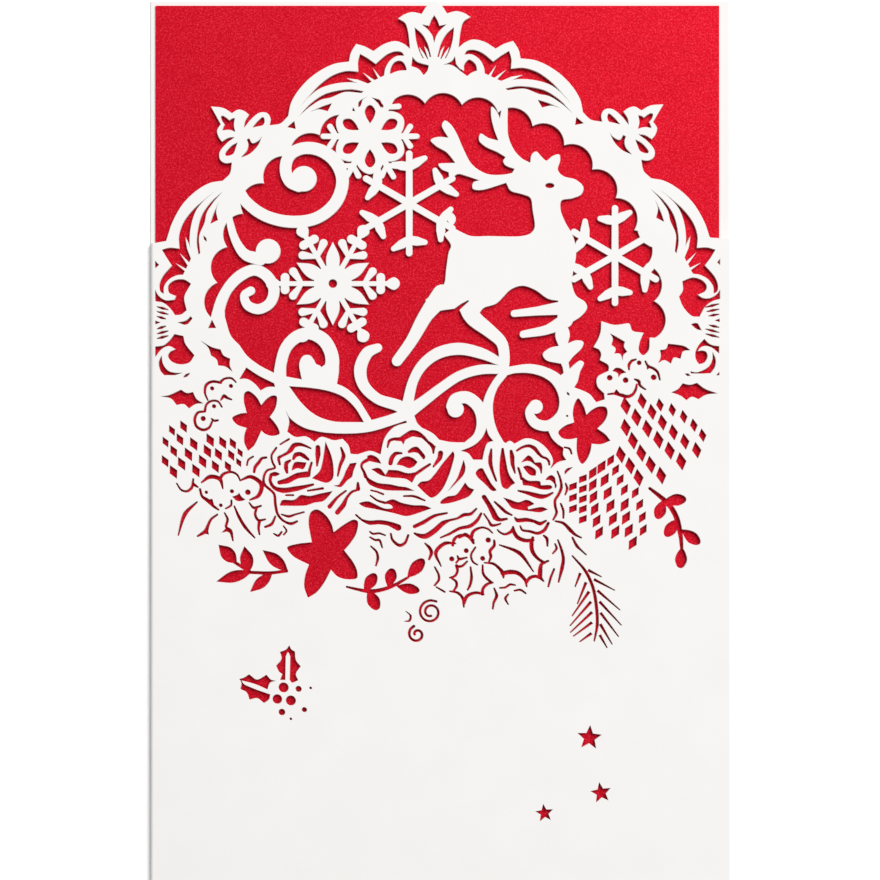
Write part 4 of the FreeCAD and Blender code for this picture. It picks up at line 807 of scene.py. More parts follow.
# %% Reindeer
def reindeer_body():
    return loop([
        (19.6, 45.4), (19.2, 49.0), (18.7, 51.6), (16.8, 52.4), (14.6, 53.1), C(13.7, 54.7), C(15.5, 57.6),
        C(18.7, 58.8), (19.0, 60.5), (19.9, 61.1), (20.9, 60.1), (22.0, 59.2), (23.2, 60.1), (24.6, 60.5),
        (24.8, 59.3), (24.3, 57.4), (25.5, 56.0), (28.0, 55.3), (29.6, 53.8), (29.2, 52.3), (27.4, 51.5),
        (25.1, 51.0), (24.9, 49.0), (26.0, 46.2), (27.4, 43.8), (28.1, 40.5), (27.8, 37.5), (27.2, 34.2),
        (28.1, 31.3), (29.9, 30.0), (30.4, 28.9), (29.4, 27.3), C(26.2, 25.2), C(24.2, 24.3),
        C(24.5, 30.3), (22.4, 30.7), (19.6, 32.6), (17.0, 33.4), (14.6, 32.6), (11.6, 29.7), (9.0, 28.8),
        C(8.0, 27.6), C(4.6, 27.4), C(6.0, 30.3), (4.0, 28.9), (0.0, 28.2), C(-1.6, 27.4), C(-3.0, 30.4),
        (-1.0, 32.1), (0.8, 33.6), (1.3, 36.8), (1.8, 40.2), (2.3, 41.7), C(0.8, 44.0), C(2.6, 45.4),
        (4.4, 44.4), (6.4, 43.6), C(10.0, 43.6), (17.0, 43.6), (18.8, 44.2)])


def reindeer_legs():
    return [stroke([(0.5, 31.5), (-2.9, 27.3), (-6.0, 21.8), (-8.9, 17.8)], [4.2, 2.9, 2.3, 2.1]),
            stroke([(6.3, 29.0), (6.7, 27.0), (10.2, 24.0), (12.7, 21.6), (13.3, 18.8), (13.2, 16.2)],
                   [5.0, 3.3, 2.6, 2.2, 2.1, 2.0]),
            stroke([(25.6, 28.8), (20.0, 28.1), (15.3, 27.6)], [2.8, 1.7, 1.3]),
            stroke([(26.0, 26.2), (22.3, 24.3), (17.2, 23.3)], [2.9, 1.9, 1.4])]


def antlers():
    left = loop([
        C(17.4, 57.3), (13.0, 56.3), (9.6, 56.5), (6.6, 58.4), (4.7, 61.8), (3.4, 64.8), (2.1, 66.8),
        (1.0, 67.5), (0.4, 66.6), (0.9, 65.4), C(1.8, 64.0), (-0.6, 64.1), (-1.9, 63.5), (-0.8, 62.3),
        (1.4, 61.0), C(3.2, 58.8), (1.4, 58.7), (-0.3, 58.5), (0.4, 57.5), C(1.8, 56.9), C(2.0, 55.0),
        (3.6, 56.5), (5.8, 56.0), C(8.2, 55.2), (6.9, 54.7), (6.8, 53.5), (8.4, 53.2), C(13.7, 54.7),
        C(16.0, 55.0)])
    right = loop([
        C(14.0, 70.8), (13.9, 67.0), (14.1, 64.2), (15.3, 61.4), (17.0, 59.6), C(18.7, 58.8),
        C(17.4, 57.2), (15.4, 57.6), (13.5, 58.4), (13.1, 59.2), C(13.6, 60.0), (12.0, 61.0), (9.4, 62.2),
        (8.1, 63.5), (8.4, 64.8), (10.0, 63.9), C(12.1, 63.4), (11.2, 65.8), (10.6, 68.6), (10.7, 70.4),
        (11.7, 69.4), C(12.4, 67.9), C(12.9, 70.8)])
    return [left, right]


def reindeer():
    """A leaping reindeer; returns its card and its eye hole."""
    hedge = loop([
        C(24.1, 25.0), (23.9, 22.8), C(24.6, 20.9), (22.7, 20.4), (21.3, 19.2), (22.0, 18.0),
        C(24.9, 17.3), C(26.4, 17.3), (27.4, 18.6), (29.3, 20.5), (29.6, 21.7), (28.2, 22.0),
        C(26.4, 21.4), (26.8, 23.3), C(26.1, 25.6)])
    tail = petal((2.4, 45.6), (2.4, 48.3), 1.6)
    return [reindeer_body(), *reindeer_legs(), *antlers(), tail, hedge], [oval((22.7, 54.1), 1.0, 0.6)]


# %% [markdown]
# ## Holes among the flowers
# Where a rose has deep shade, the card is cut away. The widest cuts come first, the finest much later.

# %% Gaps between the scrolls and the flowers
def large_gaps():
    """Open places between the scrolls and the flowers."""
    big_leaf = loop([C(-31.3, 12.6), (-27.0, 12.3), (-23.0, 11.6), (-20.0, 10.4), (-17.6, 8.2),
                     C(-15.7, 5.1), C(-18.0, 5.1), (-22.0, 5.2), (-25.8, 6.5), (-28.8, 9.1)])
    under_leaf = loop([
        C(-32.0, 7.7), (-31.0, 6.0), (-28.5, 4.2), (-25.0, 3.2), (-20.0, 2.8), (-14.5, 3.2), C(-7.0, 5.5),
        C(-6.8, 5.0), (-9.6, 4.0), (-11.4, 1.9), C(-12.3, -1.6), (-14.5, -0.9), C(-17.0, -1.6),
        C(-18.6, -1.5), (-19.0, 0.2), C(-20.2, 1.6), (-22.0, 1.3), (-24.6, 2.0), C(-26.0, 1.0),
        (-27.8, 2.1), (-30.0, 2.0), C(-31.7, 3.1), (-31.3, 5.3)])
    beside_leaf = loop([C(-41.6, 14.0), C(-40.1, 16.5), (-37.5, 14.8), C(-34.3, 13.2), C(-34.1, 12.4),
                        (-35.8, 12.3), C(-37.2, 11.6), (-38.4, 13.0), (-40.0, 14.0)])
    between_curls = loop([C(9.6, 4.0), (10.1, 2.5), C(11.1, 1.2), (9.8, 0.7), (9.2, -0.8), C(8.8, -2.7),
                          C(6.8, -2.7), (5.8, -1.4), C(4.2, -0.8), (7.0, 0.4), (8.7, 2.0)])
    beside_ring = loop([
        C(-49.6, 22.1), (-47.2, 20.7), C(-45.4, 20.2), (-44.8, 19.0), C(-43.4, 18.3), (-43.5, 17.0),
        C(-42.9, 15.5), (-44.6, 16.6), C(-46.0, 16.8), (-46.3, 18.0), C(-47.5, 18.9), (-48.0, 20.4)])
    beside_scroll = [(-47.2, 26.4), (-48.1, 24.5), (-46.3, 24.6)]
    return [big_leaf, under_leaf, beside_leaf, between_curls, beside_ring, beside_scroll]


# %% Flowers
def flower_holes():
    """Three flowers of five plump petals that run together in the middle."""
    left = loop([
        C(-37.0, 8.7), (-37.9, 10.3), (-39.6, 11.6), (-40.5, 11.2), (-40.7, 9.4), C(-40.1, 7.1),
        (-41.5, 6.9), (-43.1, 6.0), (-42.6, 5.0), (-41.6, 4.3), C(-40.1, 3.9), (-40.6, 2.4), (-40.6, 0.8),
        C(-39.8, -0.9), (-38.5, 0.2), (-37.7, 1.7), C(-37.0, 3.3), (-36.2, 2.6), (-34.7, 2.2),
        (-33.2, 2.7), (-33.5, 4.0), (-34.3, 5.2), C(-35.2, 6.2), (-34.3, 7.5), (-33.8, 8.9), (-33.8, 10.5),
        (-34.6, 10.7), (-35.9, 10.0)])
    middle = loop([
        C(-22.0, -17.6), (-22.4, -16.0), (-23.7, -14.0), (-25.5, -12.9), (-26.8, -13.5), (-27.3, -15.6),
        C(-26.6, -19.7), (-29.4, -20.0), (-31.7, -20.8), (-30.6, -22.6), C(-27.2, -24.4), (-28.0, -26.6),
        (-28.2, -29.0), C(-27.4, -31.3), (-25.6, -30.2), (-24.0, -28.2), C(-22.6, -25.5), (-21.3, -26.9),
        (-19.2, -27.5), (-17.2, -27.2), (-17.1, -25.8), (-17.9, -23.9), C(-19.8, -21.4), (-18.5, -19.9),
        (-17.3, -17.9), (-17.0, -15.4), (-17.8, -15.0), (-20.0, -16.1)])
    right = loop([
        C(30.3, 6.7), (29.8, 8.4), (28.6, 10.1), (27.8, 9.0), (27.4, 6.9), C(27.7, 5.1), (25.8, 4.4),
        (24.4, 3.0), (25.2, 1.8), (26.8, 1.5), C(28.3, 1.8), (28.2, -0.6), (28.7, -2.8), (29.4, -3.6),
        (30.3, -2.8), (31.2, -0.8), C(31.4, 0.6), (33.4, 0.5), C(35.3, 1.3), (34.3, 2.6), C(32.6, 3.8),
        (34.0, 5.2), (34.7, 6.9), (34.4, 8.2), (32.9, 8.4), (31.4, 7.7)])
    return [left, middle, right]


# %% [markdown]
# Holly leaves, sprigs and stars are cut right out. The holly's spines are corners, with the edge sagging
# between them. A sprig is a handful of petals or leaves round a stem, and its stem is cut further on.

# %% Holly, sprigs and stars
def holly_holes():
    """Four holly leaves, with their spines as corners and the tip drawn out."""
    return [loop([C(-57.9, 10.5), (-56.0, 10.8), C(-53.6, 11.9), (-52.4, 11.2), C(-51.1, 11.4),
                  (-50.4, 10.0), C(-48.9, 9.0), (-50.6, 8.8), C(-52.0, 7.9), (-53.1, 8.8), C(-54.6, 8.6),
                  (-55.7, 9.9)]),
            loop([C(47.8, 11.3), (49.2, 12.0), C(50.2, 13.2), (51.7, 12.9), C(53.2, 13.3), (54.8, 12.1),
                  C(57.5, 11.1), (55.0, 10.7), C(53.5, 9.8), (52.1, 10.3), C(51.0, 9.6), (49.8, 10.5)]),
            loop([C(35.1, 23.6), (36.6, 22.8), C(38.3, 21.8), (38.1, 20.8), C(38.8, 19.7), (38.0, 19.0),
                  C(37.8, 17.8), (37.2, 19.2), C(36.0, 19.3), (36.3, 20.3), C(35.4, 21.1), (35.7, 22.4)]),
            loop([C(51.9, 20.0), (50.6, 20.9), C(47.2, 21.4), (46.7, 20.3), C(45.5, 20.1), (45.6, 18.6),
                  C(45.1, 17.3), (46.4, 17.9), C(47.8, 17.2), (48.4, 18.4), C(49.8, 18.2), (50.3, 19.7)])]


def sprig_holes():
    left = [leaf((-31.4, -25.7), (-36.8, -21.3), 2.7),
            leaf((-39.6, -26.2), (-40.5, -20.5), 2.9), leaf((-42.0, -24.2), (-45.9, -20.2), 3.0),
            leaf((-38.8, -25.8), (-46.4, -27.9), 2.5), leaf((-34.6, -26.0), (-39.4, -30.1), 2.4)]
    middle = [petal((-15.8, -30.0), (-13.3, -26.2), 2.6), petal((-10.8, -29.2), (-9.8, -25.1), 2.6),
              petal((-6.9, -27.2), (-3.3, -23.2), 2.7), petal((-9.2, -28.8), (-4.2, -29.8), 2.3),
              petal((-15.0, -29.4), (-12.9, -33.8), 2.8)]
    right = [petal((46.2, -11.2), (51.0, -10.8), 2.6), petal((46.4, -10.8), (44.9, -15.0), 2.6),
             petal((49.3, -14.8), (46.6, -18.6), 2.6), petal((49.9, -17.0), (53.8, -20.1), 2.6),
             petal((50.1, -20.6), (49.7, -25.2), 2.6)]
    return left + middle + right


def star_holes():
    return [star((30.9, -60.2), 2.7, 86), star((33.3, -71.6), 2.3, 99), star((21.6, -75.8), 2.0, 97)]


# %% [markdown]
# ## The roses
# A rose is drawn by its shadows only. Each cut runs where one petal tucks under the next. The wide ones
# are closed outlines. The narrow ones are ribbons whose breadth is given at each point. The laser's own
# breadth comes on top, and so they are between 0.45 and 1.5 mm wide.

# %% A cut with a breadth at each point
BEAM = 0.3                  # the laser's own breadth, which every narrow cut is wider by


def cut(*points):
    """A narrow cut: each point is x, y and the breadth there."""
    return stroke([(x, y) for x, y, _ in points], [breadth + BEAM for *_, breadth in points])


def slits(*rows):
    """Several slits, each given as its width and its points."""
    return [slit(width + BEAM, *line) for width, *line in rows]


# %% First rose
def first_rose():
    petals = [
        loop([C(-23.7, 1.2), (-22.4, -2.0), (-22.0, -4.6), (-22.2, -6.6), (-23.4, -7.5), C(-26.6, -6.5),
              (-25.0, -5.0), (-24.4, -3.0), (-24.0, -0.5)]),
        loop([C(-17.2, -3.2), C(-18.7, -3.4), (-19.6, -5.0), (-20.1, -6.3), C(-21.0, -7.8), C(-22.1, -8.0),
              (-20.6, -8.4), (-19.2, -7.0), (-18.2, -6.2), (-17.9, -5.0)]),
        loop([C(-30.8, -5.0), (-30.6, -3.9), (-30.0, -3.1), C(-27.6, -3.2), (-27.9, -4.1), (-28.4, -4.7),
              (-29.5, -4.5)]),
        loop([(-35.3, -5.6), (-34.2, -5.1), (-33.1, -5.6), (-34.4, -6.2)]),
        loop([C(-33.3, -12.2), (-32.7, -11.0), (-30.2, -10.9), (-28.8, -9.9), (-27.0, -10.1),
              (-24.8, -9.6), C(-22.2, -9.1), (-23.0, -10.2), (-24.2, -11.3), (-26.0, -11.6),
              (-27.8, -12.2)])]
    folds = [
        cut((-35.0, -5.8, 0.5), (-35.2, -7.0, 0.5), (-34.4, -8.4, 0.6), (-32.6, -9.0, 0.95),
            (-29.5, -8.6, 0.85), (-26.3, -7.8, 0.3)),
        cut((-33.3, -7.4, 0.7), (-31.6, -7.0, 1.0), (-29.6, -6.0, 1.0), (-27.5, -5.7, 1.1)),
        cut((-27.2, -5.9, 0.5), (-27.0, -4.6, 0.4), (-26.6, -3.3, 0.3)),
        cut((-25.3, -0.1, 0.8), (-25.3, -1.5, 0.95), (-25.5, -3.9, 0.25)),
        cut((-30.4, -2.5, 0.4), (-29.9, -1.7, 0.8), (-29.0, -1.5, 0.7), (-28.2, -1.9, 0.75),
            (-27.3, -2.6, 0.4)),
        cut((-31.0, -2.8, 0.25), (-31.8, -3.4, 0.7), (-31.9, -4.4, 0.75), (-31.7, -5.3, 0.4)),
        cut((-33.2, -3.6, 0.35), (-33.4, -2.3, 0.5), (-32.6, -1.8, 0.35), (-31.5, -1.2, 0.5),
            (-30.9, -0.6, 0.8), (-30.2, 0.3, 0.8), (-29.0, 0.5, 0.6), (-27.9, 0.2, 0.35),
            (-26.8, -0.3, 0.2)),
        cut((-20.5, -0.2, 0.25), (-20.0, -1.9, 0.7), (-20.7, -3.8, 0.5), (-21.2, -6.0, 0.25)),
        cut((-19.5, -9.1, 0.2), (-21.2, -10.4, 0.35), (-22.9, -12.4, 0.7)),
        cut((-17.0, -8.9, 0.3), (-18.2, -9.3, 0.35), (-19.3, -10.5, 0.4), (-20.0, -12.0, 0.85),
            (-21.3, -13.6, 0.8)),
        cut((-17.0, -7.5, 0.3), (-17.0, -8.7, 0.75))]
    lines = [
        cut((-33.9, -0.2, 0.25), (-34.9, -1.8, 0.3), (-34.7, -3.2, 0.3), (-34.2, -4.3, 0.3),
            (-35.8, -4.9, 0.3), (-36.5, -6.2, 0.35), (-36.4, -7.7, 0.4), (-34.4, -9.7, 0.4),
            (-34.1, -12.0, 0.45), (-33.6, -14.0, 0.4), (-32.3, -15.4, 0.35), (-30.8, -15.9, 0.5),
            (-29.6, -15.4, 0.25)),
        cut((-33.1, 0.5, 0.2), (-31.3, 1.6, 0.25)), cut((-31.9, -10.0, 0.25), (-30.4, -10.0, 0.25)),
        cut((-27.4, -9.1, 0.25), (-24.3, -8.6, 0.35)),
        cut((-32.8, -14.0, 0.2), (-31.3, -14.4, 0.45), (-30.0, -14.0, 0.25), (-28.2, -13.5, 0.2))]
    return petals + folds + lines


# %% Second rose
def second_rose():
    petals = [
        loop([C(2.7, -0.8), (3.0, -1.6), (2.6, -3.6), (1.6, -6.6), (0.5, -8.8), (-0.8, -10.2),
              (-1.8, -10.6), (-2.8, -10.0), C(-4.8, -8.0), (-4.0, -7.2), (-2.4, -6.9), (-1.2, -5.7),
              (0.4, -3.5)]),
        loop([C(4.9, -2.6), (5.3, -4.2), (5.0, -5.6), (3.6, -7.3), C(1.5, -9.3), (2.4, -8.0), (3.4, -6.6),
              (4.2, -4.6)]),
        loop([C(5.2, -7.3), (6.0, -8.3), C(7.1, -8.8), (6.1, -10.2), (3.8, -11.2), (1.4, -11.8),
              (0.0, -11.8), (0.1, -11.2), (1.6, -10.2), (3.2, -9.9)]),
        loop([(8.0, -4.5), (8.8, -4.4), (9.4, -5.4), (10.6, -7.5), (11.7, -9.0), (10.8, -9.2), (9.2, -7.7),
              (7.6, -6.2), (7.3, -5.4)]),
        loop([C(12.7, -0.2), C(13.2, -0.2), (13.6, -2.4), (14.3, -5.6), C(15.6, -7.5), (14.8, -8.0),
              (13.9, -8.8), (12.9, -8.4), (12.3, -6.0), (12.3, -2.6)]),
        loop([C(-9.1, -3.7), (-8.2, -2.4), (-6.8, -1.9), (-5.5, -2.3), C(-4.6, -3.1), (-5.4, -4.1),
              (-6.5, -4.5), (-7.7, -4.0)]),
        loop([C(-6.8, -0.9), (-6.0, -0.2), (-4.8, 0.1), (-3.8, -0.8), (-3.0, -2.0), (-3.4, -2.7),
              (-4.6, -1.4), (-5.4, -1.2), C(-6.6, -1.4)]),
        loop([C(-14.3, -4.6), (-13.2, -4.3), (-12.4, -4.4), C(-11.3, -5.7), C(-10.7, -4.7), (-8.8, -4.8),
              (-6.6, -5.4), C(-4.3, -5.0), (-5.1, -6.2), C(-5.8, -7.5), (-7.2, -6.7), (-10.4, -6.4),
              (-12.4, -5.9)]),
        loop([C(-15.1, -1.8), (-14.2, -1.6), (-12.8, -2.3), C(-12.1, -3.5), (-13.4, -3.3),
              C(-15.2, -2.9)]),
        loop([C(-15.8, -5.3), (-14.6, -6.5), (-12.8, -7.4), (-10.2, -7.7), (-8.5, -8.1), (-6.9, -8.3),
              C(-5.2, -9.1), (-8.5, -9.1), (-11.5, -9.0), (-14.6, -7.9), (-15.4, -6.8)]),
        loop([C(-11.8, -11.5), (-9.8, -10.8), (-8.0, -11.5), (-5.6, -12.0), (-3.2, -12.1), C(-1.7, -12.7),
              (-4.6, -13.8), (-7.0, -14.4), (-9.6, -13.8), (-13.2, -13.0), (-16.0, -12.4), (-16.8, -11.7),
              (-15.0, -11.2), (-13.2, -11.9), (-11.4, -12.7), (-9.9, -12.6), (-10.2, -12.1),
              C(-11.8, -11.8)])]
    folds = [
        cut((-10.9, -0.1, 0.2), (-10.5, 1.2, 0.45), (-9.6, 1.6, 0.45), (-8.2, 1.6, 0.7), (-7.2, 2.1, 1.0),
            (-5.8, 2.8, 1.2), (-4.6, 2.6, 1.1), (-3.6, 2.1, 0.6), (-2.6, 1.1, 0.4), (-1.5, 0.0, 0.7),
            (-1.4, -1.3, 0.2)),
        [(-8.5, 1.7), (-7.6, 0.4), (-6.8, 2.2)], [(-2.2, 1.1), (-0.8, 0.1), (-1.3, -0.8)],
        cut((-10.3, -3.4, 0.75), (-10.0, -2.3, 0.75), (-9.2, -1.4, 0.6), (-8.0, -1.3, 0.25)),
        cut((-14.8, -2.6, 0.6), (-16.1, -3.4, 0.4), (-16.3, -4.1, 0.35), (-15.8, -5.1, 0.4),
            (-15.4, -6.2, 0.6)),
        cut((-4.9, -5.5, 0.5), (-3.6, -4.6, 0.45), (-2.1, -3.6, 0.3)),
        cut((0.1, -1.3, 0.9), (-0.1, -2.3, 0.8), (-0.8, -3.3, 0.5), (-1.4, -4.1, 0.25)),
        cut((-14.4, -10.1, 0.2), (-13.0, -11.1, 0.3), (-11.4, -11.6, 0.4)),
        cut((-7.5, -10.2, 0.25), (-5.6, -10.2, 0.35), (-4.6, -10.5, 0.4), (-3.2, -11.1, 0.2)),
        cut((-17.4, -14.1, 0.25), (-16.2, -15.1, 0.3), (-14.6, -15.7, 0.75), (-12.6, -15.6, 0.75),
            (-10.6, -15.9, 0.8), (-8.7, -16.7, 1.2)),
        cut((-5.3, -16.5, 0.6), (-3.4, -15.6, 0.65), (-1.2, -14.3, 0.5), (1.4, -13.7, 0.25)),
        cut((-14.3, -9.0, 0.2), (-13.0, -9.3, 0.25), (-11.8, -9.8, 0.3))]
    edge = [
        cut((10.6, -0.5, 0.2), (10.4, -2.0, 0.65), (10.4, -3.4, 0.7), (10.9, -5.2, 0.4),
            (11.6, -7.0, 0.3)),
        cut((9.1, -10.4, 0.8), (10.0, -11.8, 0.8), (10.9, -13.4, 1.0), (11.5, -14.6, 1.1),
            (12.4, -15.1, 0.6), (13.8, -14.9, 0.3)),
        cut((11.3, -11.4, 0.25), (12.6, -12.6, 0.5), (13.6, -13.5, 0.5), (14.8, -14.1, 0.25)),
        cut((9.1, -13.9, 0.2), (10.0, -15.2, 0.3), (10.6, -16.2, 0.5), (11.6, -16.2, 0.35),
            (12.5, -15.9, 0.2))]
    return petals + folds + edge


# %% Third rose
def third_rose():
    petals = [
        loop([C(16.7, -3.3), (17.6, -2.2), (18.3, -1.7), (19.0, -2.1), C(19.7, -3.2), (20.9, -3.2),
              (21.2, -4.0), C(21.1, -5.6), C(20.8, -5.6), (20.5, -4.6), (19.6, -3.8), (18.3, -3.0)]),
        loop([C(17.1, -4.1), (18.0, -3.8), (19.0, -4.1), (19.9, -4.9), C(19.8, -6.0), (18.8, -6.0),
              (18.0, -5.4)]),
        loop([C(16.4, -5.7), C(17.0, -6.1), (18.2, -6.9), (20.7, -7.1), C(20.9, -7.9), (22.9, -7.9),
              (23.3, -8.3), (22.9, -8.8), (21.0, -8.9), (18.8, -8.2), C(17.1, -8.0), (16.9, -7.0)]),
        loop([C(21.7, -6.9), (22.3, -6.1), (23.1, -5.8), (23.8, -6.3), (24.0, -7.3), (24.2, -8.2),
              (23.7, -8.7), (23.6, -7.8), (22.8, -7.0)]),
        loop([C(13.0, -10.4), (14.4, -10.8), (16.2, -11.4), (17.8, -10.9), (18.6, -11.1), C(19.6, -11.8),
              C(18.2, -12.5), C(18.3, -12.9), (19.6, -12.6), (21.2, -12.4), C(22.4, -12.9), (20.8, -13.6),
              (18.6, -13.4), (14.8, -12.7), (14.0, -11.7)]),
        loop([C(27.6, -4.1), (26.3, -4.4), (25.7, -5.1), C(25.8, -5.8), (26.5, -5.1)])]
    folds = [
        cut((14.7, -0.9, 0.45), (14.9, -2.0, 0.8), (15.0, -3.6, 0.65), (15.5, -5.4, 0.2)),
        cut((15.9, -0.8, 0.3), (17.0, -0.1, 0.35), (18.4, 0.2, 0.5), (19.5, -0.3, 0.7), (20.5, -1.5, 0.5),
            (21.2, -2.1, 0.4), (22.0, -2.4, 0.35), (22.5, -3.0, 0.35), (22.6, -3.7, 0.25)),
        cut((16.2, -4.4, 0.3), (16.6, -5.6, 0.4), (16.8, -6.6, 0.4)),
        cut((16.2, -9.1, 0.25), (17.6, -9.4, 0.5), (19.6, -10.0, 0.85), (21.0, -10.3, 0.85),
            (22.2, -10.1, 0.5), (23.3, -9.5, 0.2)),
        cut((15.5, -14.7, 0.25), (16.0, -15.2, 0.7), (17.8, -15.1, 0.7), (19.4, -15.4, 0.5),
            (20.7, -15.9, 0.65), (21.9, -15.3, 0.25))]
    lines = [
        cut((24.3, -5.1, 0.2), (24.8, -6.4, 0.3), (25.1, -8.3, 0.45), (24.5, -9.9, 0.4),
            (23.8, -11.0, 0.4), (23.8, -12.2, 0.4), (24.1, -13.6, 0.4), (23.4, -15.1, 0.25)),
        cut((26.0, -7.6, 0.2), (26.3, -8.6, 0.4), (25.9, -9.9, 0.2)),
        cut((25.0, -11.8, 0.25), (25.5, -13.2, 0.35), (25.5, -14.7, 0.25))]
    return petals + folds + lines


def berry_and_bough_holes():
    """The widest cuts round the berries and down the boughs."""
    return [slit(1.1, (-49.4, -7.4), (-47.6, -6.2), (-45.6, -6.7), (-45.0, -8.6)),
            slit(1.1, (-41.2, -6.9), (-39.2, -6.2), (-37.0, -7.8), (-37.6, -10.1), (-39.4, -11.0)),
            slit(1.0, (-50.3, -11.4), (-52.8, -13.9), (-54.2, -18.3)),
            slit(1.0, (0.2, -24.7), (-0.9, -21.9), (1.0, -20.0), (3.2, -20.0)),
            slit(1.0, (3.9, -18.9), (5.2, -18.2), (7.0, -19.3)),
            slit(1.0, (12.3, -20.3), (16.4, -22.0), (19.3, -25.8))]


# %% [markdown]
# ## Pine cones
# A cone is a net of lozenges in strands. The second tree sets a four-cornered face on every point of a
# line. Its two half diagonals are inputs, so one tree serves the cone at the left, the one at the upper
# right and the one below it, whose tip bends away from its body.

# %% Tree 2: a strand of lozenges
def strand_tree():
    tree, given = new_tree("strand_of_lozenges", [("Wide", "Vector", None), ("Tall", "Vector", None)])
    back_wide, back_tall = [
        node(tree, "ShaderNodeVectorMath", {0: given[half], "Scale": -1.0}, operation="SCALE")
        for half in ("Wide", "Tall")]
    ring = node(tree, "GeometryNodeCurvePrimitiveQuadrilateral", {
        "Point 1": back_wide, "Point 2": back_tall, "Point 3": given["Wide"], "Point 4": given["Tall"]},
        mode="POINTS")
    lozenge = node(tree, "GeometryNodeFillCurve", {"Curve": ring}, mode="NGONS")
    copies = node(tree, "GeometryNodeInstanceOnPoints", {"Points": given["Geometry"], "Instance": lozenge})
    end_tree(tree, copies, WHITE)
    return tree


STRAND_TREE = strand_tree()
print("tree:", STRAND_TREE.name, "of", len(STRAND_TREE.nodes), "nodes")


def strand(start, heading, turn, count, pitch, wide, tall):
    """A row of lozenges along a gently turning line, each with the two given half diagonals."""
    points = [start]
    for k in range(count - 1):
        points.append(at_polar(points[-1], pitch, heading + turn * k))
    line = new_mesh("strand", [(*p, 0.0) for p in points])
    return outlines_of(run_tree(STRAND_TREE, line, {"Wide": (*wide, 0.0), "Tall": (*tall, 0.0)}))


# %% Three cones
def cone_holes():
    """Each strand: where it starts, its heading, the turn at each step, and its count, pitch and size."""
    left = [((-55.5, 3.4), -119, 0, 2, 2.75, 0.8), ((-53.1, 4.2), -106, -12, 4, 2.75, 0.9),
            ((-51.0, 0.6), -117, -9, 4, 2.4, 1.0), ((-47.6, 1.4), -104, -11, 4, 2.35, 1.0),
            ((-45.0, 0.9), -110, 6, 3, 2.6, 0.95), ((-42.9, 0.7), -98, -8, 3, 2.45, 0.85),
            ((-41.4, -1.2), -98, 0, 2, 2.05, 0.7)]
    upper = [((37.4, -1.6), -50, -5, 3, 3.0, 0.98), ((38.4, 4.0), -61, 5, 5, 3.1, 1.0),
             ((38.4, 8.5), -47, 1, 6, 3.25, 1.02), ((41.8, 9.5), -48, 3, 6, 3.05, 0.92),
             ((45.5, 8.7), -22, -9, 5, 2.75, 0.76)]
    tip = [((27.5, -8.2), -90, 0, 3, 2.3, 1.0), ((29.55, -6.6), -90, 0, 5, 2.1, 1.0)]
    lower = [((31.6, -5.4), -90, 3, 6, 2.5, 0.95), ((33.4, -4.2), -76, -1, 6, 2.75, 1.0),
             ((35.3, -2.8), -63, -2, 4, 2.25, 0.85), ((38.2, -12.0), -84, 6, 4, 2.7, 1.0),
             ((40.4, -9.5), -70, -8, 4, 2.65, 0.85)]
    out = []
    for strands, wide, tall in ((left, (0.85, 0.35), (-0.75, 1.5)), (upper, (1.12, 0.05), (-0.28, 1.95)),
                                (tip, (0.85, 1.0), (-0.8, 0.4)), (lower, (0.9, 1.55), (-0.82, 0.45))):
        for start, heading, turn, count, pitch, size in strands:
            out += strand(start, heading, turn, count, pitch, (wide[0] * size, wide[1] * size),
                          (tall[0] * size, tall[1] * size))
    return out


# %% [markdown]
# ## Berries, leaves and ribbons
# Under the roses the drawing goes over to open line work: berries as arcs with a dot for the calyx, holly
# leaves by their edge and vein, and ribbons that run off to the side. A cut may not close on itself here,
# or what it goes round would fall out.

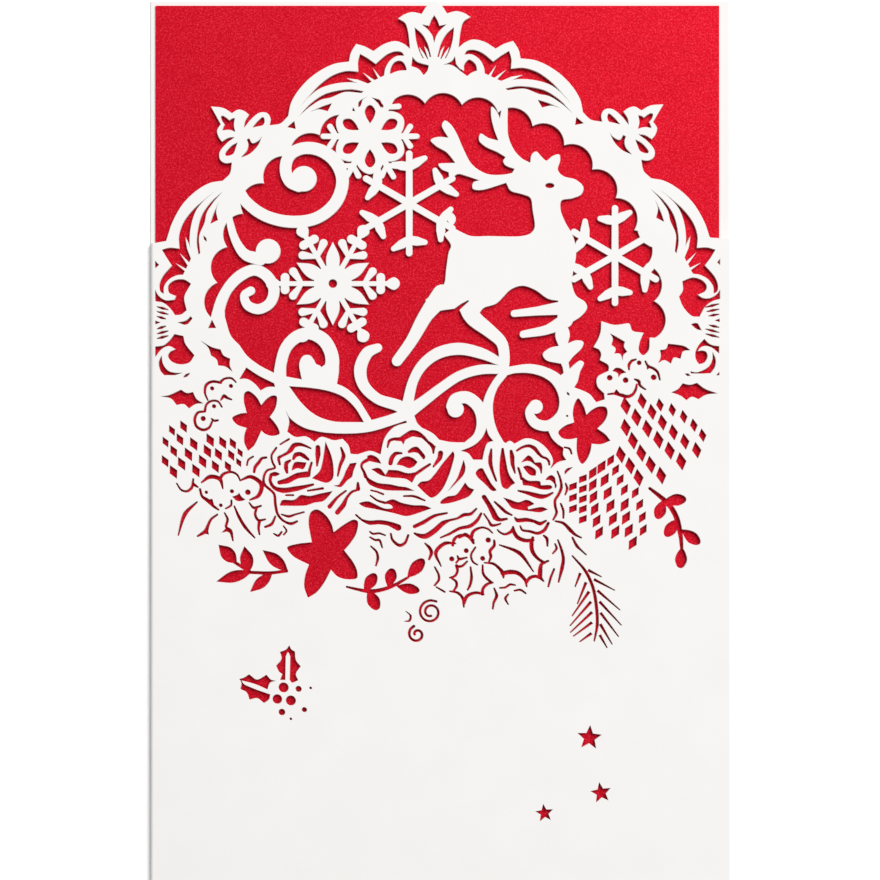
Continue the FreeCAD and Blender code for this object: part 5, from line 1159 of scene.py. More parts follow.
# %% Line work under the roses
def under_the_roses():
    leaves = [
        cut((-14.5, -17.6, 0.25), (-13.9, -18.0, 0.3), (-12.6, -17.9, 0.3), (-11.4, -18.3, 0.2)),
        cut((-14.5, -18.7, 0.2), (-13.4, -19.3, 0.35), (-12.6, -19.3, 0.35), (-12.0, -20.8, 0.25)),
        cut((-14.3, -20.6, 0.2), (-13.2, -21.7, 0.35), (-12.9, -23.0, 0.45), (-13.3, -24.6, 0.2)),
        cut((-10.2, -18.0, 0.25), (-9.9, -19.2, 0.4), (-8.4, -20.4, 0.55), (-7.3, -19.9, 0.4),
            (-6.6, -18.3, 0.3)),
        cut((-3.1, -20.0, 0.2), (-2.2, -20.9, 0.55), (-1.8, -21.9, 0.6), (-2.3, -23.3, 0.3)),
        cut((-1.1, -24.9, 0.2), (-0.3, -26.5, 0.35), (-0.3, -27.6, 0.35), (-1.2, -28.7, 0.2)),
        cut((-0.8, -29.0, 0.2), (0.9, -30.0, 0.3)),
        cut((0.1, -18.8, 0.2), (2.0, -18.0, 0.4), (4.0, -16.9, 0.5), (6.2, -16.4, 0.6), (7.6, -15.3, 0.55),
            (8.5, -13.8, 0.3)),
        cut((-5.3, -17.9, 0.25), (-4.2, -18.4, 0.75), (-3.0, -18.5, 0.95), (-1.2, -17.4, 0.95),
            (0.6, -15.8, 0.8), (2.0, -15.2, 0.35), (3.6, -14.8, 0.3), (4.9, -14.1, 0.6), (6.3, -13.9, 0.5),
            (7.5, -12.8, 0.2)),
        cut((16.6, -16.4, 0.2), (17.0, -17.2, 0.35), (18.6, -17.5, 0.4), (20.2, -17.9, 0.5),
            (21.5, -17.3, 0.55), (22.4, -15.8, 0.4)),
        cut((23.9, -15.4, 0.25), (25.5, -15.8, 0.45), (27.0, -17.3, 0.65), (28.0, -18.2, 0.4),
            (29.2, -18.8, 0.2)),
        cut((27.4, -18.8, 0.25), (28.3, -20.5, 0.5), (29.2, -21.4, 0.25), (30.2, -22.3, 0.2)),
        cut((21.5, -18.4, 0.3), (22.1, -19.0, 0.5), (22.2, -20.5, 0.25)),
        cut((23.8, -20.1, 0.2), (24.1, -21.0, 0.35), (23.3, -22.1, 0.2)),
        cut((24.4, -19.3, 0.2), (25.1, -21.2, 0.4), (25.5, -23.2, 0.5), (25.2, -25.2, 0.6),
            (24.5, -28.0, 0.2)),
        cut((23.6, -25.3, 0.25), (22.9, -27.0, 0.35), (22.4, -28.9, 0.25))]
    berries = [
        cut((2.6, -20.4, 0.4), (2.9, -19.2, 0.5), (3.8, -18.4, 0.35), (5.2, -18.3, 0.35),
            (6.3, -18.9, 0.7), (6.9, -19.9, 0.4)),
        cut((6.4, -18.9, 0.6), (6.9, -17.5, 0.5), (8.6, -16.7, 0.3), (9.9, -17.0, 0.3),
            (10.8, -17.8, 0.2)),
        cut((7.3, -20.8, 0.2), (6.4, -22.4, 0.3), (6.8, -23.8, 0.3), (7.7, -24.4, 0.2)),
        cut((11.2, -19.4, 0.3), (11.2, -20.4, 0.45), (10.3, -21.6, 0.5), (10.5, -22.7, 0.45),
            (10.1, -23.8, 0.2)),
        cut((3.6, -22.6, 0.2), (3.9, -23.2, 0.5), (5.5, -22.9, 0.2)),
        cut((3.3, -24.0, 0.2), (3.9, -23.3, 0.3))]
    dots = [disc((9.95, -19.3), 0.62), disc((5.4, -21.5), 0.58), disc((2.4, -23.2), 0.6),
            disc((8.8, -23.1), 0.58)]
    return leaves + berries + dots


# %% [markdown]
# Two large holly leaves are drawn by their edges only. From spine to spine one cut follows the edge, and
# the small bridges between the cuts hold the leaf in the card.

# %% Holly drawn by its edges
def line_holly():
    upper = [
        cut((9.2, -24.0, 0.2), (11.0, -24.2, 0.4), (12.3, -25.2, 0.5), (13.0, -26.2, 0.7),
            (13.1, -27.1, 0.2)),
        cut((12.9, -26.2, 0.7), (14.6, -25.9, 0.8), (16.2, -26.2, 0.7), (17.6, -27.6, 0.5),
            (17.9, -28.9, 0.2)),
        cut((17.8, -28.2, 0.4), (18.5, -27.2, 0.55), (19.6, -26.8, 0.5), (20.7, -27.1, 0.6),
            (21.4, -27.8, 0.2)),
        cut((20.7, -27.0, 0.7), (20.7, -25.6, 0.8), (21.0, -24.3, 0.5), (22.4, -23.6, 0.25)),
        cut((21.6, -24.0, 0.4), (20.2, -23.1, 0.5), (19.1, -21.6, 0.7), (18.9, -20.0, 0.7),
            (19.2, -18.8, 0.4)),
        cut((19.2, -19.3, 0.5), (17.6, -19.4, 0.65), (16.0, -18.7, 0.7), (15.3, -17.6, 0.6),
            (15.1, -16.6, 0.3)),
        cut((15.1, -16.7, 0.2), (14.6, -17.6, 0.5), (13.4, -18.1, 0.35), (12.4, -17.7, 0.3),
            (11.9, -17.2, 0.2))]
    lower = [
        cut((5.6, -23.7, 0.2), (4.5, -24.7, 0.4), (3.5, -24.8, 0.4)),
        cut((3.4, -24.6, 0.5), (3.6, -25.6, 0.4), (3.1, -26.7, 0.35), (2.0, -27.1, 0.2)),
        cut((2.2, -27.1, 0.2), (3.3, -27.9, 0.4), (3.4, -28.8, 0.4), (2.8, -29.8, 0.25)),
        cut((2.0, -29.9, 0.2), (3.6, -30.2, 0.4), (4.6, -31.2, 0.45), (4.9, -33.1, 0.25)),
        cut((4.9, -32.4, 0.5), (5.6, -30.9, 0.55), (7.4, -30.2, 0.45), (8.9, -30.5, 0.4)),
        cut((8.7, -30.5, 0.5), (8.9, -29.3, 0.45), (9.8, -28.4, 0.45), (10.9, -28.1, 0.2)),
        cut((10.8, -28.1, 0.25), (9.7, -27.3, 0.45), (8.9, -26.2, 0.4), (8.8, -24.5, 0.2)),
        cut((6.3, -24.9, 0.2), (6.5, -27.0, 0.45), (6.2, -28.6, 0.4), (5.7, -29.6, 0.25))]
    stray = [
        cut((12.4, -29.2, 0.25), (13.5, -29.1, 0.3), (14.5, -28.5, 0.35), (15.5, -28.6, 0.2)),
        cut((15.4, -29.8, 0.25), (16.6, -29.6, 0.35), (17.7, -30.3, 0.25)),
        cut((11.2, -29.3, 0.2), (11.7, -30.8, 0.5), (11.1, -32.2, 0.35), (10.9, -33.5, 0.25)),
        cut((14.1, -30.5, 0.15), (13.5, -31.4, 0.4), (14.1, -32.6, 0.15))]
    return upper + lower + stray


# %% Berries at the left
def left_berries():
    upper = [
        cut((-48.1, 9.7, 0.2), (-48.7, 11.2, 0.35), (-48.4, 12.8, 0.45), (-47.2, 13.5, 0.4),
            (-45.4, 13.3, 0.4)),
        cut((-45.6, 13.3, 0.4), (-44.6, 14.1, 0.3), (-43.2, 14.2, 0.3), (-42.3, 13.4, 0.2)),
        cut((-48.7, 7.4, 0.4), (-48.4, 8.7, 0.3), (-47.3, 9.5, 0.3), (-46.0, 9.4, 0.3),
            (-45.2, 8.3, 0.25)),
        cut((-48.8, 7.3, 0.3), (-50.1, 7.1, 0.35), (-50.8, 5.8, 0.45), (-50.4, 4.2, 0.45),
            (-49.0, 3.5, 0.45), (-47.8, 4.0, 0.35), (-47.2, 5.2, 0.25)),
        cut((-47.3, 5.8, 0.2), (-46.7, 5.4, 0.35), (-46.0, 5.5, 0.25)),
        cut((-45.4, 9.7, 0.2), (-44.7, 10.5, 0.6), (-44.0, 10.1, 0.4), (-43.2, 9.8, 0.2)),
        disc((-47.2, 12.1), 0.5), disc((-43.3, 12.6), 0.5), disc((-46.8, 8.4), 0.5),
        disc((-49.05, 5.85), 0.6)]
    lower = [
        cut((-45.6, -6.6, 0.5), (-44.8, -5.6, 0.45), (-43.2, -5.2, 0.35), (-42.0, -5.8, 0.3),
            (-41.4, -7.0, 0.2)),
        cut((-54.5, -7.6, 0.2), (-53.6, -8.9, 0.3), (-52.4, -9.2, 0.35), (-51.4, -8.4, 0.45),
            (-51.1, -6.7, 0.25)),
        cut((-51.1, -7.7, 0.5), (-50.2, -8.3, 0.25)), [(-48.4, -10.9), (-47.1, -10.7), (-46.7, -12.1)],
        cut((-49.7, -8.8, 0.35), (-49.3, -10.2, 0.4), (-48.0, -11.2, 0.7), (-46.9, -12.3, 0.45),
            (-45.9, -13.0, 0.25)),
        cut((-43.2, -11.1, 0.25), (-43.3, -12.1, 0.3), (-44.4, -12.8, 0.2)),
        loop([C(-43.1, -10.3), (-41.9, -9.8), C(-41.6, -9.4), (-41.0, -10.3), C(-40.2, -10.9),
              (-41.2, -11.3), (-42.2, -11.2)]),
        disc((-48.4, -9.4), 0.42), disc((-43.1, -9.2), 0.5), disc((-39.8, -9.4), 0.65),
        disc((-45.4, -12.1), 0.45)]
    rose_side = [
        cut((-40.0, -3.8, 0.25), (-39.7, -2.7, 0.25), (-38.7, -2.0, 0.2)),
        cut((-38.5, -5.2, 0.4), (-38.3, -4.2, 0.5), (-37.5, -3.2, 0.5), (-36.9, -2.4, 0.4),
            (-36.0, -2.2, 0.3))]
    return upper + lower + rose_side


# %% Ribbons below them
def ribbons():
    return [
        cut((-46.1, -14.0, 0.2), (-47.4, -15.0, 0.35), (-48.1, -16.4, 0.45), (-48.5, -17.4, 0.7),
            (-50.2, -18.5, 0.25)),
        [(-49.3, -17.5), (-48.0, -16.9), (-47.8, -18.2), (-49.4, -18.0)],
        cut((-44.6, -13.7, 0.2), (-44.0, -15.0, 0.4), (-44.3, -16.6, 0.4), (-43.4, -17.4, 0.6),
            (-42.9, -19.4, 0.2)),
        [(-45.3, -17.8), (-44.3, -16.7), (-43.3, -17.2), (-43.4, -18.0), (-44.2, -17.6)],
        cut((-42.6, -12.3, 0.2), (-41.6, -14.6, 0.5), (-40.3, -16.7, 0.55), (-38.4, -18.8, 0.2)),
        cut((-39.5, -11.6, 0.2), (-38.6, -12.6, 0.45), (-37.1, -12.2, 0.25)),
        cut((-38.0, -12.7, 0.35), (-38.3, -14.0, 0.4), (-37.6, -15.2, 0.45), (-36.2, -15.0, 0.2)),
        cut((-37.4, -15.3, 0.5), (-37.6, -16.8, 0.4), (-37.4, -18.1, 0.25)),
        cut((-36.2, -16.6, 0.35), (-34.9, -16.0, 0.45), (-34.1, -14.4, 0.2)),
        cut((-34.4, -18.0, 0.2), (-33.5, -18.4, 0.35), (-32.8, -17.6, 0.2)),
        cut((-32.4, -16.4, 0.2), (-31.8, -17.4, 0.25), (-32.4, -18.2, 0.2))]


# %% Berries at the right
def right_berries():
    arcs = [
        cut((39.1, 16.0, 0.2), (39.1, 17.0, 0.45), (39.7, 17.8, 0.4), (40.5, 18.1, 0.2)),
        cut((42.5, 17.7, 0.2), (43.0, 16.8, 0.35), (44.2, 16.2, 0.4), (45.0, 15.5, 0.4),
            (45.5, 13.9, 0.2)),
        [(42.6, 17.4), (43.9, 16.5), (42.8, 15.9)], [(35.8, 11.1), (36.5, 12.0), (37.3, 11.1)],
        cut((34.8, 10.9, 0.25), (36.0, 11.0, 0.3), (37.5, 10.7, 0.6), (38.8, 10.4, 0.55),
            (39.8, 10.8, 0.45), (40.5, 11.9, 0.35), (40.7, 12.9, 0.2)),
        cut((40.3, 14.0, 0.2), (41.1, 13.6, 0.5), (41.4, 12.7, 0.4), (42.5, 11.9, 0.2)),
        cut((25.8, -0.1, 0.2), (26.8, -0.4, 0.3), (27.2, -1.4, 0.25))]
    fan = loop([C(35.6, 15.7), (36.3, 16.4), (37.4, 16.3), C(38.6, 15.4), (37.5, 15.0), C(36.9, 14.3),
                (36.7, 15.2)])
    dots = [disc((41.2, 17.4), 0.55), disc((35.1, 14.3), 0.65), disc((38.4, 13.8), 0.65),
            disc((44.2, 14.4), 0.65), disc((26.3, 6.4), 0.3)]
    ticks = slits((0.35, (26.3, 11.3), (26.7, 10.7)), (0.35, (44.0, 36.3), (44.9, 35.6)))
    return arcs + [fan] + dots + ticks


# %% [markdown]
# ## Curls, sprig stems and the sides
# Two small spirals grow by a rule: the radius shrinks evenly with the angle. The stems are ribbons, and the
# combs at the sides are rows of slits.

# %% Spirals, stems and side slits
SPIRAL_STEPS = 12           # points in each full turn
COMB = 0.42                 # breadth of a comb's slits, without the beam
TICK = 0.4                  # breadth of a single tick


def spiral(width, centre, outer, inner, start, turns):
    """A slit that winds inwards, clockwise if turns is below zero."""
    steps = ceil(abs(turns) * SPIRAL_STEPS)
    return stroke([at_polar(centre, outer + (inner - outer) * k / steps, start + 360 * turns * k / steps)
                   for k in range(steps + 1)], width + BEAM)


def small_curls():
    return [spiral(0.36, (-2.0, -34.2), 2.5, 0.8, 62, 1.6), spiral(0.4, (-4.8, -38.8), 1.8, 0.5, 110, 1.2),
            slit(0.65, (-7.1, -34.0), (-6.1, -35.0), (-6.4, -36.0), (-7.4, -36.1))]


def sprig_stems():
    return [stroke([(-39.4, -26.0), (-35.0, -26.1), (-31.8, -25.7)], 0.8),
            stroke([(-43.0, -23.6), (-39.4, -25.8)], 0.8),
            stroke([(-19.3, -29.0), (-14.5, -29.9), (-10.5, -29.1), (-6.6, -27.0)], [0.6, 1.0, 0.9, 0.6]),
            stroke([(43.4, -8.6), (45.2, -10.0), (47.4, -12.0), (49.0, -14.8), (49.8, -18.5),
                    (50.0, -21.0)], [0.75, 1.0, 1.2, 1.2, 1.0, 0.8])]


def side_slits():
    """The combs of slits beside the fold and at the open edge, with a bud between their halves."""
    ends = (-56.3, -56.3, -56.8)
    left = slits(*[(COMB, (-58.6, 29.0 - k), (end, 28.4 - 0.95 * k)) for k, end in enumerate(ends)],
                 *[(COMB, (-58.6, 22.4 + k), (end, 23.0 + k)) for k, end in enumerate(ends)])
    right = slits(*[(COMB, (57.7, start), (x, y)) for start, x, y in (
        (29.6, 55.0, 28.9), (28.5, 55.2, 28.0), (27.45, 55.6, 27.1),
        (24.75, 55.7, 25.2), (23.7, 55.0, 24.4), (22.7, 55.0, 23.4))])
    buds = [[(-59.0, 38.6), (-58.1, 37.7), (-59.0, 36.9)], [(-59.0, 26.2), (-57.8, 25.8), (-59.0, 25.3)],
            [(58.0, 39.05), (57.3, 38.2), (58.0, 37.6)], [(56.8, 26.2), (57.9, 26.6), (57.9, 25.8)],
            [(57.8, 15.6), (57.1, 14.8), (57.85, 14.8)]]
    ticks = slits((TICK, (50.8, 15.1), (51.7, 14.8)), (TICK, (-53.1, 14.4), (-51.9, 15.2)),
                  (TICK, (-48.9, 43.6), (-48.4, 42.6)), (TICK, (43.9, 36.4), (44.9, 35.5)))
    return left + right + buds + ticks


def window_gaps():
    """Fine gaps beside the looped snowflake's top petal, and the slit between the reindeer's hind legs."""
    return [loop([C(-17.0, 70.2), (-16.9, 71.4), C(-14.9, 72.6), (-16.0, 71.8), (-16.4, 70.6)]),
            loop([C(-14.2, 72.4), (-12.4, 71.8), C(-11.9, 70.7), C(-12.2, 70.1), (-13.0, 71.2)]),
            [(-18.0, 70.4), (-17.5, 69.5), (-18.3, 69.5)],
            cut((3.2, 28.2, 0.7), (4.6, 29.35, 0.5), (5.8, 30.2, 0.1))]


# %% [markdown]
# ## Holly in the lower corner
# Two holly leaves and a spray of round berries stand alone on the plain card. Each leaf is one closed
# outline that goes round its midrib, so the midrib stays card.

# %% Corner holly
def corner_holly():
    """Two holly leaves in the lower corner, their midribs left uncut, and their berries."""
    upright = loop([
        C(-31.2, -41.0), (-31.9, -41.9), C(-33.2, -42.4), (-32.9, -43.9), C(-34.0, -45.3), (-33.4, -46.6),
        C(-32.7, -47.1), C(-33.2, -48.3), C(-32.0, -48.3), C(-31.9, -43.4), (-31.5, -42.6),
        C(-31.1, -43.4), C(-31.2, -48.3), (-30.7, -48.9), C(-29.3, -48.3), (-29.8, -47.0), C(-28.8, -45.4),
        (-29.8, -44.1), C(-30.0, -42.3), (-30.7, -41.9)])
    level = loop([
        C(-41.6, -48.0), (-40.6, -47.7), C(-39.5, -47.0), (-37.9, -48.1), C(-35.9, -47.1), (-35.0, -48.1),
        C(-33.9, -48.4), (-35.2, -48.9), C(-35.7, -50.3), (-38.3, -49.2), C(-41.0, -48.4), (-40.6, -49.0),
        (-38.2, -50.1), C(-35.1, -51.2), (-35.4, -52.3), C(-36.5, -53.1), (-37.9, -52.1), C(-39.5, -52.4),
        (-40.1, -50.9), C(-41.4, -50.2), (-41.2, -49.0)])
    berries = [disc((-32.4, -49.8), 1.1), disc((-33.7, -52.2), 1.05), disc((-30.9, -52.5), 1.1),
               disc((-29.3, -50.1), 0.7), disc((-32.75, -54.9), 0.75), disc((-28.1, -54.4), 0.6)]
    return [upright, level, *berries]


def corner_dots():
    return [disc((-26.8, -49.9), 0.35), disc((-30.9, -56.3), 0.35)]


# %% [markdown]
# ## A pine twig
# The needles stand in pairs along a bent stem, leaning forward, and get longer and then shorter. The
# third tree draws them all by that rule: it spaces points along the stem, reads the stem's direction at
# each, and sets a needle to its left and one to its right, a short way off the stem.

# %% Tree 3: needles along a stem
def twig_tree():
    tree, given = new_tree("needles_along_a_stem", [
        ("Pairs", "Int", 7), ("Left Lean", "Float", radians(-52)), ("Right Lean", "Float", radians(32)),
        ("Root", "Float", 1.25), ("Shortest", "Float", 3.2), ("Longest", "Float", 6.8),
        ("Needle Width", "Float", 0.7)])
    stem = node(tree, "GeometryNodeMeshToCurve", {"Mesh": given["Geometry"]})
    spaced = node(tree, "GeometryNodeCurveToPoints", {"Curve": stem, "Count": given["Pairs"]}, mode="COUNT")
    way = node(tree, "ShaderNodeSeparateXYZ", {"Vector": spaced.outputs["Tangent"]}).outputs
    heading = node(tree, "ShaderNodeMath", {0: way["Y"], 1: way["X"]}, operation="ARCTAN2")
    order = node(tree, "GeometryNodeInputIndex")
    last = node(tree, "ShaderNodeMath", {0: given["Pairs"], 1: 1.0}, operation="SUBTRACT")
    along = node(tree, "ShaderNodeMath", {0: order, 1: last}, operation="DIVIDE")
    arch = node(tree, "ShaderNodeMath", {0: along, 1: pi}, operation="MULTIPLY")
    swell = node(tree, "ShaderNodeMath", {0: arch}, operation="SINE")
    reach = node(tree, "ShaderNodeMapRange", {
        "Value": swell, "To Min": given["Shortest"], "To Max": given["Longest"]})
    size = node(tree, "ShaderNodeCombineXYZ", {"X": reach, "Y": given["Needle Width"], "Z": 1.0})
    ring = node(tree, "GeometryNodeCurvePrimitiveQuadrilateral", {
        "Point 1": (0.0, -0.5, 0.0), "Point 2": (1.0, -0.25, 0.0), "Point 3": (1.0, 0.25, 0.0),
        "Point 4": (0.0, 0.5, 0.0)}, mode="POINTS")
    gap = node(tree, "ShaderNodeMath", {0: given["Root"], 1: reach}, operation="DIVIDE")
    off = node(tree, "ShaderNodeCombineXYZ", {"X": gap})
    needle = node(tree, "GeometryNodeFillCurve", {"Curve": ring}, mode="NGONS")
    both_sides = node(tree, "GeometryNodeJoinGeometry")
    for side in ("Left Lean", "Right Lean"):
        lean = node(tree, "ShaderNodeMath", {0: heading, 1: given[side]}, operation="ADD")
        turn = node(tree, "ShaderNodeCombineXYZ", {"Z": lean})
        row = node(tree, "GeometryNodeInstanceOnPoints", {
            "Points": spaced, "Instance": needle, "Rotation": turn, "Scale": size})
        moved = node(tree, "GeometryNodeTranslateInstances", {"Instances": row, "Translation": off})
        tree.links.new(moved.outputs[0], both_sides.inputs[0])
    end_tree(tree, both_sides, WHITE)
    return tree


TWIG_STEM = [(27.4, -22.6), (30.0, -25.6), (31.6, -29.0), (32.4, -33.5), (32.5, -37.0), (31.9, -40.2)]
TWIG_WIDTHS = [0.5, 0.75, 0.8, 0.8, 0.75, 0.45]
NEEDLE_LINE = [(29.5, -24.9), (31.2, -27.8), (32.1, -31.0), (32.5, -34.5), (32.4, -37.8)]


def pine_twig():
    line = curve(NEEDLE_LINE)
    stem = new_mesh("twig_stem", [(*p, 0.0) for p in line], [(k, k + 1) for k in range(len(line) - 1)])
    return [stroke(TWIG_STEM, TWIG_WIDTHS), *outlines_of(run_tree(twig_tree(), stem, {}))]


# %% [markdown]
# ## Laying the shapes over each other
# The lace is planned as four layers: card, holes, card that hangs in the holes, and holes again. Where
# shapes overlap, the uppermost layer decides. One constrained Delaunay triangulation of every outline at
# once gives triangles that never cross an outline, so each triangle is wholly card or wholly air.

# %% Layers
def layers():
    looped_card, looped_holes = looped_snowflake((-14.5, 64.3))
    star_card, star_eye = star_snowflake((-22.2, 33.8))
    deer_card, deer_eye = reindeer()
    hanging = [*scrolls(), *looped_card, *star_card, *deer_card]
    hanging += barbed_snowflake((-6.4, 50.4), 1.0) + barbed_snowflake((36.2, 39.6), 0.95)
    for spike in crescent_spikes():
        hanging += all_four(spike)
    flowers = [*large_gaps(), *flower_holes(), *holly_holes(), *sprig_holes(), *star_holes(), *cone_holes(),
               *first_rose(), *second_rose(), *third_rose(), *berry_and_bough_holes()]
    fine = [*under_the_roses(), *line_holly(), *left_berries(), *ribbons(), *right_berries(),
            *small_curls(), *sprig_stems(), *side_slits(), *window_gaps(), *corner_holly(),
            *corner_dots(), *pine_twig()]
    print("outlines of what hangs:", len(hanging), "of the flowers:", len(flowers), "finer:", len(fine))
    return [(True, [panel_outline(), medallion_outline()]),
            (False, [*window_outlines(), *medallion_holes()]),
            (True, hanging),
            (False, [*looped_holes, *star_eye, *deer_eye, *flowers, *fine])]


# %% [markdown]
# A curve's points are thinned until a straight facet would stray by more than 0.02 mm, which is finer
# than the laser's own beam, and then stretched from the board to the card.

# %% From outlines to one flat sheet
FACET_SAG = 0.02
SHORTEST_FACET = 0.02
NO_LENGTH = 1e-6            # a line shorter than this has no direction
MEETING = 1e-5              # points of two outlines that are nearer than this are one
INSIDE_ONLY = 1             # the triangulation leaves out what lies in no outline


def thinned(line, sag):
    """The same line with only the points that keep it within the sag."""
    (ax, ay), (bx, by) = line[0], line[-1]
    length = hypot(bx - ax, by - ay)
    strays = [abs((bx - ax) * (ay - y) - (ax - x) * (by - ay)) / length if length > NO_LENGTH
              else hypot(x - ax, y - ay) for x, y in line]
    worst = max(range(len(line)), key=strays.__getitem__)
    if strays[worst] <= sag:
        return [line[0], line[-1]]
    return thinned(line[:worst + 1], sag)[:-1] + thinned(line[worst:], sag)


def facets(outline):
    """A closed outline with as few straight facets as the sag allows, on the card itself."""
    flat = [(p[0] * CARD_WIDTH / BOARD_WIDTH, p[1] * CARD_HEIGHT / BOARD_HEIGHT) for p in outline]
    ring = flat + [flat[0]]
    far = max(range(len(flat)), key=lambda k: hypot(flat[k][0] - flat[0][0], flat[k][1] - flat[0][1]))
    thin = thinned(ring[:far + 1], FACET_SAG)[:-1] + thinned(ring[far:], FACET_SAG)[:-1]
    out = [thin[0]]
    for point in thin[1:]:
        if hypot(point[0] - out[-1][0], point[1] - out[-1][1]) > SHORTEST_FACET:
            out.append(point)
    return out


def flat_sheet():
    """Points and triangles of the pierced front leaf."""
    points = []
    faces = []
    is_card = []
    for keeps, outlines in layers():
        for outline in outlines:
            ring = facets(outline)
            turning = sum(a[0] * b[1] - b[0] * a[1] for a, b in zip(ring, ring[1:] + ring[:1]))
            ring = ring if turning > 0 else ring[::-1]
            faces.append(list(range(len(points), len(points) + len(ring))))
            points += [Vector(p) for p in ring]
            is_card.append(keeps)
    corners, _, triangles, _, _, sources = geometry.delaunay_2d_cdt(
        points, [], faces, INSIDE_ONLY, MEETING)
    kept = [triangle for triangle, under in zip(triangles, sources) if under and is_card[max(under)]]
    print("outlines", len(faces), "points", len(corners), "triangles of card", len(kept))
    return corners, kept


# %% [markdown]
# What a laser cuts free on all sides falls out. Only the largest piece that still holds together is kept.

# %% The piece that holds together
PINCH_GAP = 0.02 * MM       # how far two corners that only touch are drawn apart


def part_pinched_corners(sheet):
    """Where two corners of the card touch in one point, each gets its own point, a hair apart."""
    for vert in list(sheet.verts):
        rim = [edge for edge in vert.link_edges if edge.is_boundary]
        if len(rim) > 2:
            for corner in bmesh.utils.vert_separate(vert, rim):
                faces = corner.link_faces
                middle = sum((face.calc_center_median() for face in faces), Vector()) / len(faces)
                corner.co += (middle - corner.co).normalized() * PINCH_GAP


def largest_piece(corners, triangles):
    """A flat mesh in metres of the biggest set of triangles that share edges."""
    sheet = bmesh.new()
    verts = [sheet.verts.new((p[0] * MM, p[1] * MM, FRONT_UNDER * MM)) for p in corners]
    for triangle in triangles:
        sheet.faces.new([verts[k] for k in triangle])
    groups = []
    seen = set()
    for face in sheet.faces:
        if face in seen:
            continue
        group = [face]
        seen.add(face)
        for member in group:
            for edge in member.edges:
                for other in edge.link_faces:
                    if other not in seen:
                        seen.add(other)
                        group.append(other)
        groups.append(group)
    groups.sort(key=len)
    fallen = [face for group in groups[:-1] for face in group]
    bmesh.ops.delete(sheet, geom=fallen, context="FACES")
    bmesh.ops.delete(sheet, geom=[v for v in sheet.verts if not v.link_faces], context="VERTS")
    part_pinched_corners(sheet)
    print("pieces cut free:", len(groups) - 1)
    mesh = bpy.data.meshes.new("front_leaf")
    sheet.to_mesh(mesh)
    sheet.free()
    return mesh


# %% [markdown]
# ## Giving the sheet its thickness
# The fourth tree makes a slab from any flat mesh: it lifts the faces by the card's thickness and closes
# the underside with the flipped original. Only the top stays white. The walls are scorched, and the
# underside is stained by the smoke that is drawn off below the sheet; both are given near-black browns
# that are also painted shade, darkening the slits and the light bounced into the gap over the red card.
# A laser's cut narrows with depth, so the tree moves the lower edge of each wall out along that wall.
# The walls then show from above, as the fine dark line that runs round every hole. Walls on the outer
# edge of the card stay upright.

# %% Tree 4: a slab of card
TAPER = 0.1 * MM            # how far a wall leans out from its top to its foot
WELD = 1e-7                 # metres; the slab's walls and underside meet exactly


def step_outwards(tree, taper):
    """The step that each corner takes when its walls lean out."""
    normal = node(tree, "GeometryNodeInputNormal")
    level = node(tree, "ShaderNodeVectorMath", {0: normal, 1: (1.0, 1.0, 0.0)}, operation="MULTIPLY")
    facing = node(tree, "GeometryNodeFieldOnDomain", {"Value": level}, domain="FACE",
                  data_type="FLOAT_VECTOR")
    outward = node(tree, "ShaderNodeVectorMath", {0: facing}, operation="NORMALIZE")
    return node(tree, "ShaderNodeVectorMath", {0: outward, "Scale": taper}, operation="SCALE")


def foot_of_a_hole(tree, given):
    """Whether a corner is below the middle of the sheet and away from its outer edge."""
    place = node(tree, "GeometryNodeInputPosition")
    height = node(tree, "ShaderNodeSeparateXYZ", {"Vector": place}).outputs["Z"]
    below = node(tree, "ShaderNodeMath", {0: height, 1: given["Middle Height"]}, operation="LESS_THAN")
    box = node(tree, "GeometryNodeBoundBox", {"Geometry": given["Geometry"]}).outputs
    from_low = node(tree, "ShaderNodeVectorMath", {0: place, 1: box["Min"]}, operation="SUBTRACT")
    from_high = node(tree, "ShaderNodeVectorMath", {0: box["Max"], 1: place}, operation="SUBTRACT")
    nearer = node(tree, "ShaderNodeVectorMath", {0: from_low, 1: from_high}, operation="MINIMUM")
    margin = node(tree, "ShaderNodeSeparateXYZ", {"Vector": nearer}).outputs
    least = node(tree, "ShaderNodeMath", {0: margin["X"], 1: margin["Y"]}, operation="MINIMUM")
    inside = node(tree, "ShaderNodeMath", {0: least, 1: given["Taper"]}, operation="GREATER_THAN")
    return node(tree, "ShaderNodeMath", {0: below, 1: inside}, operation="MULTIPLY")


